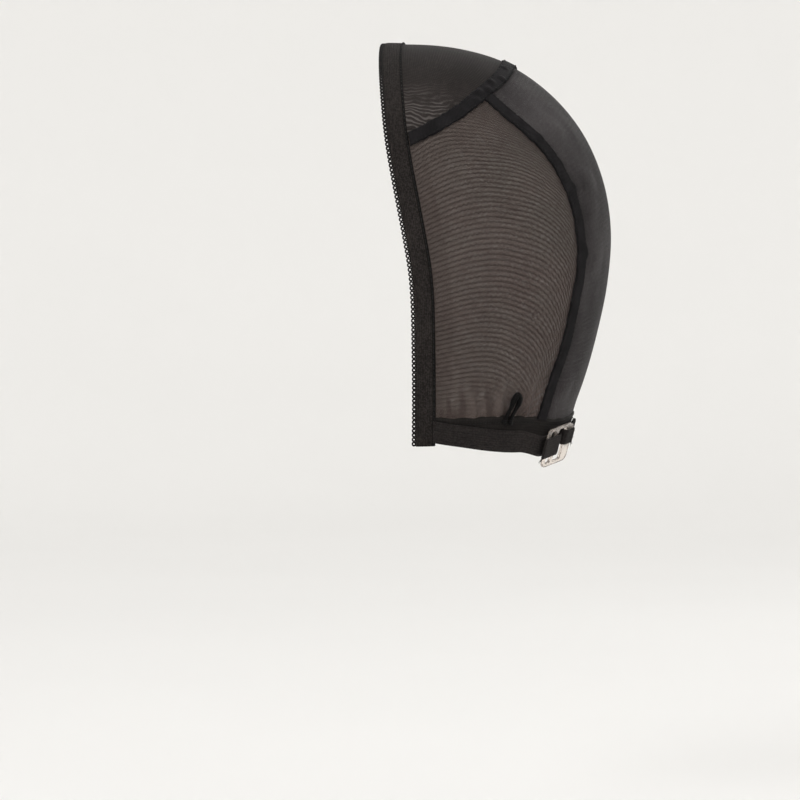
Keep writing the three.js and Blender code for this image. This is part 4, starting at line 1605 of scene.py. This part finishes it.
@dataclass
class Strap:
    """A flat elastic strap that passes under the slide, turns round a bar and lies back over it."""

    pattern: CapPattern
    slide: StrapSlide
    side: Side
    rows: tuple[tuple[float, float], ...]
    bar_edge: float
    rise: float
    returned: float
    wide: float = 10 * MM
    wall: float = 1.0 * MM
    leave: float = 14 * MM
    gap: float = 0.3 * MM
    under_band: float = -1.2 * MM
    ripple: float = 0.05 * MM
    ripple_pitch: float = 1.2 * MM
    strands: int = 46
    squeeze: float = 1.0
    columns: int = 13
    step: float = 0.55 * MM

    def centre(self) -> tuple[Array, Array]:
        """The middle of the strap's cloth.

        Returns:
            A grid of points along and across it, and the travel along it of each row.
        """
        facing = -1 if self.side is Side.LEFT else 1
        slide_end = facing * (self.slide.long / 2 + self.gap)
        places = FORM.places(self.rows) * ([1, 1, 1] if self.side is Side.LEFT else [-1, 1, 1])
        tip = FORM.onto(self.slide.at(slide_end, self.rise, 0.0)[None])
        line = SeamLine.through(np.vstack([places, tip]))
        run, radius = line.length(), self.slide.ply_radius
        lower, turn = abs(slide_end - self.bar_edge), math.pi * radius
        sides = np.linspace(-self.wide / 2, self.wide / 2, self.columns)
        start = self.pattern.clear_of_band(line, facing * sides, self.under_band)
        travel = np.arange(0, run + lower + turn + self.returned, self.step)
        on_run = travel[travel < run]
        share = blend(start, 1, on_run[:, None] / run)
        point, _, across, _ = line.ways(share)
        beside = FORM.onto(point + across * (facing * sides)[:, None])
        on_head = FORM.lifted(beside, self.slide.strap_middle)
        rest = (run - on_run)[:, None]
        under = self.slide.at(slide_end + facing * rest, self.rise + sides * self.squeeze, -radius)
        first = blend(on_head, under, smoothly(self.leave, 0, rest)[..., None])
        past = (travel[travel >= run] - run)[:, None]
        angle = np.clip((past - lower) / radius, 0, np.pi)
        back = np.maximum(past - lower - turn, 0)
        along = np.where(past < lower, slide_end - facing * past,
                         self.bar_edge - facing * radius * np.sin(angle) + facing * back)
        second = self.slide.at(along, self.rise + sides * self.squeeze, -radius * np.cos(angle))
        return np.concatenate([first, second]), travel

    def build(self) -> None:
        """Makes the strap in place of its plain solid."""
        centre, travel = self.centre()
        ahead, aside = np.gradient(centre, axis=0), np.gradient(centre, axis=1)
        out = unit(np.cross(ahead, aside))
        column = np.linspace(-1, 1, self.columns)
        edge = np.sqrt(np.clip((1 - np.abs(column)) / 0.16, 0, 1))
        half = self.wall / 2 * blend(0.55, 1, edge)[None, :, None]
        ripple = self.ripple * np.cos(2 * np.pi * travel / self.ripple_pitch)[:, None, None]
        name = f"strap_{self.side.value}"
        marks = np.stack(np.meshgrid(travel, column * self.wide / 2, indexing="ij"), -1) / MM
        parts = MeshParts()
        outer = centre + out * (half + ripple * edge[None, :, None])
        parts.add_wall(centre - out * half, outer, marks.reshape(-1, 2))
        made = parts.made(f"{name}_elastic", STRAP_ELASTIC)
        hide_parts(name)
        self.loose_ends(name, centre[-1], ahead[-1], out[-1])

    def loose_ends(self, name: str, end: Array, ahead: Array, out: Array) -> None:
        """Makes the short strands that stick out of the cut end.

        Args:
            name: the strap's name.
            end: points across the cut end.
            ahead: the way that the strap runs there.
            out: the way out of its face there.
        """
        chance = np.random.default_rng(7)
        parts = MeshParts()
        for _ in range(self.strands):
            place = chance.uniform(0, len(end) - 1.001)
            low, part = int(place), place % 1
            root = blend(end[low], end[low + 1], part) + out[low] * chance.uniform(-0.3, 0.3) * self.wall
            corner = ridge(place, 3.0)
            long = chance.uniform(0.4, 1.1) * MM * (1 + 0.9 * corner)
            way = unit(unit(ahead[low]) + chance.normal(0, 0.35, 3) + self.slide.up * -0.9 * corner)
            stops = np.linspace(0, 1, 5)[:, None]
            path = root + way * long * stops - self.slide.up * 0.3 * long * stops ** 2
            radius = blend(0.1, 0.05, stops[:, 0]) * MM
            parts.add_tube(path, np.broadcast_to(out[low], path.shape), radius, sides=4)
        parts.made(f"{name}_loose_ends", LOOSE_YARN)


@dataclass
class StrapLoop:
    """A small standing loop of cord, sewn to the nape band by its feet."""

    pattern: CapPattern
    side: Side
    place: tuple[float, float] = (0.505, -1.017)
    radius: float = 0.88 * MM
    tall: float = 12 * MM
    wide: float = 4.4 * MM
    foot: float = 3 * MM
    rise: float = 1.2 * MM
    low: float = 1.3 * MM
    swell: float = 1.55
    stitch_rows: tuple[float, ...] = (-0.8 * MM, -1.6 * MM, -2.4 * MM)
    stitch_half: float = 1.35 * MM
    stitch_sunk: float = 0.15 * MM
    stitch_thread: float = 0.17 * MM
    rows: tuple[tuple[float, float], ...] = (
        (-0.43, 0), (-0.25, 0.25), (-0.02, 0.5), (0.1, 0.74), (0.42, 0.93), (0.74, 0.82), (0.78, 0.6),
        (0.5, 0.33), (0.2, 0),
    )

    def build(self) -> None:
        """Makes the loop in place of its plain solid, with the stitches that hold its feet."""
        seam = self.pattern.nape_seam
        point, ahead, across, _ = seam.ways(seam.nearest(FORM.places([self.place])[0]))
        first, last = self.rows[0][0] * self.wide, self.rows[-1][0] * self.wide
        standing = [(x * self.wide, y * self.tall) for x, y in self.rows]
        aside, up = np.array([(first, -self.foot), *standing, (last, -self.foot)]).T
        foot_height = self.low + self.radius
        heights = foot_height + self.rise * np.maximum(up, 0) / self.tall
        on_form = FORM.onto(point + ahead * aside[:, None] - across * up[:, None])
        path, travel = smooth_path(FORM.lifted(on_form, heights), 12)
        from_end = np.minimum(travel, travel[-1] - travel)
        pinch = blend(0.8, 1, smoothly(0, 2.5 * MM, from_end))
        pinch = pinch * blend(1, self.swell, smoothly(7 * MM, 12 * MM, from_end))
        parts = MeshParts()
        parts.add_tube(path, FORM.normals(path), self.radius * pinch, sides=12, flat=0.92)
        mirror = self.side is Side.RIGHT
        name = f"strap_loop_{self.side.value}"
        made = parts.made(f"{name}_cord", LOOP_CORD, mirror)
        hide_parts(name)
        sewing = MeshParts()
        for x in (first, last):
            for y in self.stitch_rows:
                steps = np.linspace(-1, 1, 7)
                foot = FORM.onto(point + ahead * (x + steps * self.stitch_half)[:, None] - across * y)
                arch = np.sqrt(np.clip(1 - steps ** 2, 0, 1))
                lift = self.low - self.stitch_sunk + 2 * self.radius * arch
                sewing.add_tube(FORM.lifted(foot, lift), FORM.normals(foot), self.stitch_thread, sides=5)
        sewing.made(f"{name}_stitches", STITCH_YARN, mirror)


@dataclass(frozen=True)
class SoftLight:
    """A round soft light: where it stands, in degrees and metres, its width and its watts."""

    name: str
    azimuth: float
    elevation: float
    far: float
    size: float
    power: float


@dataclass
class Studio:
    """The camera at the photograph's angle, soft lights and a pale floor."""

    azimuth: float = 94
    elevation: float = 1
    distance: float = 1.5
    frame_wide: float = 0.376
    sensor: float = 36.0
    target: tuple[float, float, float] = (0.0, -0.00517, -0.16545)
    floor_drop: float = 0.37
    flat_reach: float = 2.6
    sweep: float = 1.4
    wall_top: float = 3.5
    sweep_steps: int = 12
    round_steps: int = 96
    pale: Colour = (0.93, 0.925, 0.915)
    near_pale: Colour = (0.8, 0.795, 0.785)
    room_light: Colour = (1, 0.99, 0.97)
    room_strength: float = 1.0
    clip: tuple[float, float] = (0.05, 30)
    lit_middle: tuple[float, float, float] = (0, 0.03, -0.09)
    lights: tuple[SoftLight, ...] = (
        SoftLight("key", 60, 35, 1.6, 0.9, 9), SoftLight("fill", 140, 20, 1.8, 1.2, 4),
        SoftLight("back", 235, 40, 1.8, 1.0, 4),
    )

    @staticmethod
    def placed(name: str, data: bpy.types.ID, middle: Sequence[float], azimuth: float, elevation: float,
               far: float) -> bpy.types.Object:
        """Puts a camera or light round the cap, turned to face it.

        Args:
            name: its name.
            data: the camera or light.
            middle: the point that it faces.
            azimuth: where it stands round that point, in degrees from the front.
            elevation: how high, in degrees.
            far: how far away, in metres.

        Returns:
            The object.
        """
        made = bpy.data.objects.new(name, data)
        turn, rise = math.radians(azimuth), math.radians(elevation)
        level = math.cos(rise)
        away = Vector((math.sin(turn) * level, -math.cos(turn) * level, math.sin(rise)))
        made.location = Vector(middle) + away * far
        made.rotation_mode = "QUATERNION"
        made.rotation_quaternion = (-away).to_track_quat("-Z", "Y")
        bpy.context.scene.collection.objects.link(made)
        return made

    def camera(self) -> None:
        """Sets up the camera."""
        data = bpy.data.cameras.new("camera")
        data.sensor_width = self.sensor
        data.lens = self.sensor * self.distance / self.frame_wide
        data.clip_start, data.clip_end = self.clip
        place = self.target, self.azimuth, self.elevation, self.distance
        bpy.context.scene.camera = self.placed("camera", data, *place)

    def light(self, light: SoftLight) -> None:
        """Adds a soft light that faces the cap.

        Args:
            light: where it stands, and how large and strong it is.
        """
        data = bpy.data.lights.new(light.name, "AREA")
        data.shape, data.size, data.energy = "DISK", light.size, light.power
        self.placed(light.name, data, self.lit_middle, light.azimuth, light.elevation, light.far)

    def surroundings(self) -> None:
        """Makes the floor, which sweeps up all round, and the pale room light."""
        turns = np.linspace(0, np.pi / 2, self.sweep_steps + 1)[1:]
        curve, edge = self.flat_reach + self.sweep * np.sin(turns), self.flat_reach + self.sweep
        reach = np.concatenate([[0.0, self.flat_reach], curve, [edge]])
        rise = np.concatenate([[0.0, 0.0], self.sweep * (1 - np.cos(turns)), [self.wall_top]])
        around = np.linspace(0, 2 * np.pi, self.round_steps, endpoint=False)
        high = np.broadcast_to(rise[:, None] - self.floor_drop, (len(reach), len(around)))
        points = np.stack([np.outer(reach, np.cos(around)), np.outer(reach, np.sin(around)), high], -1)
        mesh = bpy.data.meshes.new("floor")
        faces = MeshParts.grid_faces(len(reach), len(around), around=True)
        mesh.from_pydata(points.reshape(-1, 3).tolist(), [], faces.tolist())
        mesh.polygons.foreach_set("use_smooth", [True] * len(mesh.polygons))
        paint = Paint("floor_paint")
        place = paint.place()
        away = paint.node("ShaderNodeVectorMath", {"operation": "LENGTH"}, {0: place}, output="Value")
        sheen_and_fold_clouds = paint.mottled(place, 1.2, 0.3, 0.7) * 0.1
        pale = paint.mix(away.rise(0.6, edge) + sheen_and_fold_clouds, self.near_pale, self.pale)
        mesh.materials.append(paint.finish(Base_Color=pale, Roughness=0.9, Specular_IOR_Level=0.1))
        floor = bpy.data.objects.new("floor", mesh)
        bpy.context.scene.collection.objects.link(floor)
        world = bpy.data.worlds.new("room")
        world.use_nodes = True
        background = world.node_tree.nodes["Background"]
        background.inputs["Color"].default_value = (*self.room_light, 1)
        background.inputs["Strength"].default_value = self.room_strength
        bpy.context.scene.world = world

    def build(self) -> None:
        """Sets up the camera, the lights and the floor."""
        self.camera()
        self.surroundings()
        for light in self.lights:
            self.light(light)
        bpy.context.scene.view_settings.view_transform = "Standard"
        LOG.info("camera, lights and floor")


@dataclass
class WigCap:
    """The whole cap: what its pieces need to know of each other, and the order they are made in."""

    pattern: CapPattern = field(default_factory=CapPattern)
    under_band: float = -1.2 * MM
    under_crown_tape: float = -0.8 * MM
    under_back_tape: float = -0.6 * MM
    side_flat: tuple[float, float] = (0.095, 0.135)
    side_area: float = 0.0091
    back_flat: tuple[float, float] = (0.1, 0.18)
    back_area: float = 0.0155
    crown_tape_wide: float = 6.8 * MM
    crown_tape_end: float = 0.25 * MM
    back_tape_wide: float = 6.2 * MM
    back_tape_start: float = 2.2 * MM
    back_tape_dip: float = 0.3 * MM
    knots: tuple[tuple[float, float, float], ...] = (
        (0.345, 0.655, 0.45), (0.372, 0.684, -0.4), (0.4, 0.713, 0.3), (0.428, 0.742, -0.35),
        (0.456, 0.78, 0.35), (0.478, 0.835, -0.3),
    )
    bumps: tuple[tuple[float, float, float], ...] = (
        (0.182, 0.019, 0.18), (0.272, 0.017, 0.15), (0.346, 0.023, 0.33), (0.524, 0.028, 0.32),
        (0.78, 0.03, 0.12),
    )
    left_strap: tuple[tuple[float, float], ...] = (
        (0.166, -1.089), (0.322, -1.116), (0.463, -1.137), (0.56, -1.141),
    )
    right_strap: tuple[tuple[float, float], ...] = (
        (0.166, -1.089), (0.322, -1.116), (0.463, -1.132), (0.6, -1.128), (0.71, -1.117), (0.78, -1.106),
        (0.84, -1.158),
    )
    strap_rises: tuple[float, float] = (1.3 * MM, 3.6 * MM)
    strap_returns: tuple[float, float] = (13 * MM, 6 * MM)
    right_squeeze: float = 0.74

    def side_panels(self) -> None:
        """Makes both side panels."""
        pattern = self.pattern
        for side in Side:
            patch = Patch(
                pattern.nape_seam.part(0, pattern.back_foot), pattern.crown_seam.part(0, pattern.back_top),
                pattern.band_rear.part(pattern.nape_join, pattern.crown_join),
                pattern.back_seam.part(1, 0), start_room=self.under_band, end_room=self.under_back_tape,
                near_room=self.under_band, far_room=self.under_crown_tape,
            )
            name = f"side_panel_{side.value}"
            SidePanel(pattern, f"{name}_knit", name, patch, SIDE_KNIT, RowFlow(), self.side_flat,
                      self.side_area, row_finish=SIDE_ROWS, mirror=side is Side.RIGHT).build()

    def back_panel(self) -> None:
        """Makes the back panel, between the two back seams."""
        pattern = self.pattern
        patch = Patch(
            pattern.nape_seam.part(pattern.back_foot, 1 - pattern.back_foot),
            pattern.crown_seam.part(pattern.back_top, 1 - pattern.back_top),
            pattern.back_seam.part(1, 0), pattern.right_back_seam.part(1, 0),
            start_room=self.under_back_tape, end_room=self.under_back_tape,
            near_room=self.under_band, far_room=self.under_crown_tape,
        )
        flow = RowFlow(hump=0.01, hump_end=1.0, drop=0.0)
        BackPanel(pattern, "back_panel_knit", "back_panel", patch, BACK_KNIT, flow, self.back_flat,
                  self.back_area, cells=(80, 150)).build()

    def tapes(self) -> None:
        """Makes the crown tape with its knots, and both back tapes."""
        pattern, seam = self.pattern, self.pattern.crown_seam
        half = self.crown_tape_wide / 2
        ends = pattern.clear_of_band(seam, np.linspace(-half, half, 9), self.crown_tape_end)
        knots = [(seam.nearest(FORM.places([(back, up)])[0]), across) for back, up, across in self.knots]
        knots += [(1 - place, across) for place, across in knots]
        SeamTape(seam, "crown_tape", ("crown_tape",), 2 * half, ends=ends, knots=tuple(knots)).build()
        line = pattern.back_seam.part(self.back_tape_start / pattern.back_seam.length(), 1)
        for side in Side:
            name = f"back_tape_{side.value}"
            SeamTape(line, name, (name,), self.back_tape_wide, bumps=self.bumps, steps=300,
                     dip=self.back_tape_dip, mirror=side is Side.RIGHT).build()

    def straps(self) -> None:
        """Makes the straps, the slide that joins them and the loops."""
        pattern, slide = self.pattern, StrapSlide()
        _, (bar, far_bar) = slide.slots
        left = Side.LEFT, self.left_strap, bar, self.strap_rises[0], self.strap_returns[0]
        right = Side.RIGHT, self.right_strap, far_bar, self.strap_rises[1], self.strap_returns[1]
        Strap(pattern, slide, *left).build()
        Strap(pattern, slide, *right, squeeze=self.right_squeeze).build()
        slide.build()
        for side in Side:
            StrapLoop(pattern, side).build()

    def build(self) -> None:
        """Makes the cap, from its mesh to its straps."""
        self.side_panels()
        self.back_panel()
        CrownPanel(self.pattern).build()
        NapeBand(self.pattern).build()
        FrontBand(self.pattern).build()
        self.tapes()
        self.straps()


def main() -> None:
    """Builds the cap and the studio."""
    logging.basicConfig(level=logging.INFO, format="%(name)s: %(message)s")
    Studio().build()
    WigCap().build()


if __name__ == "__main__":
    main()
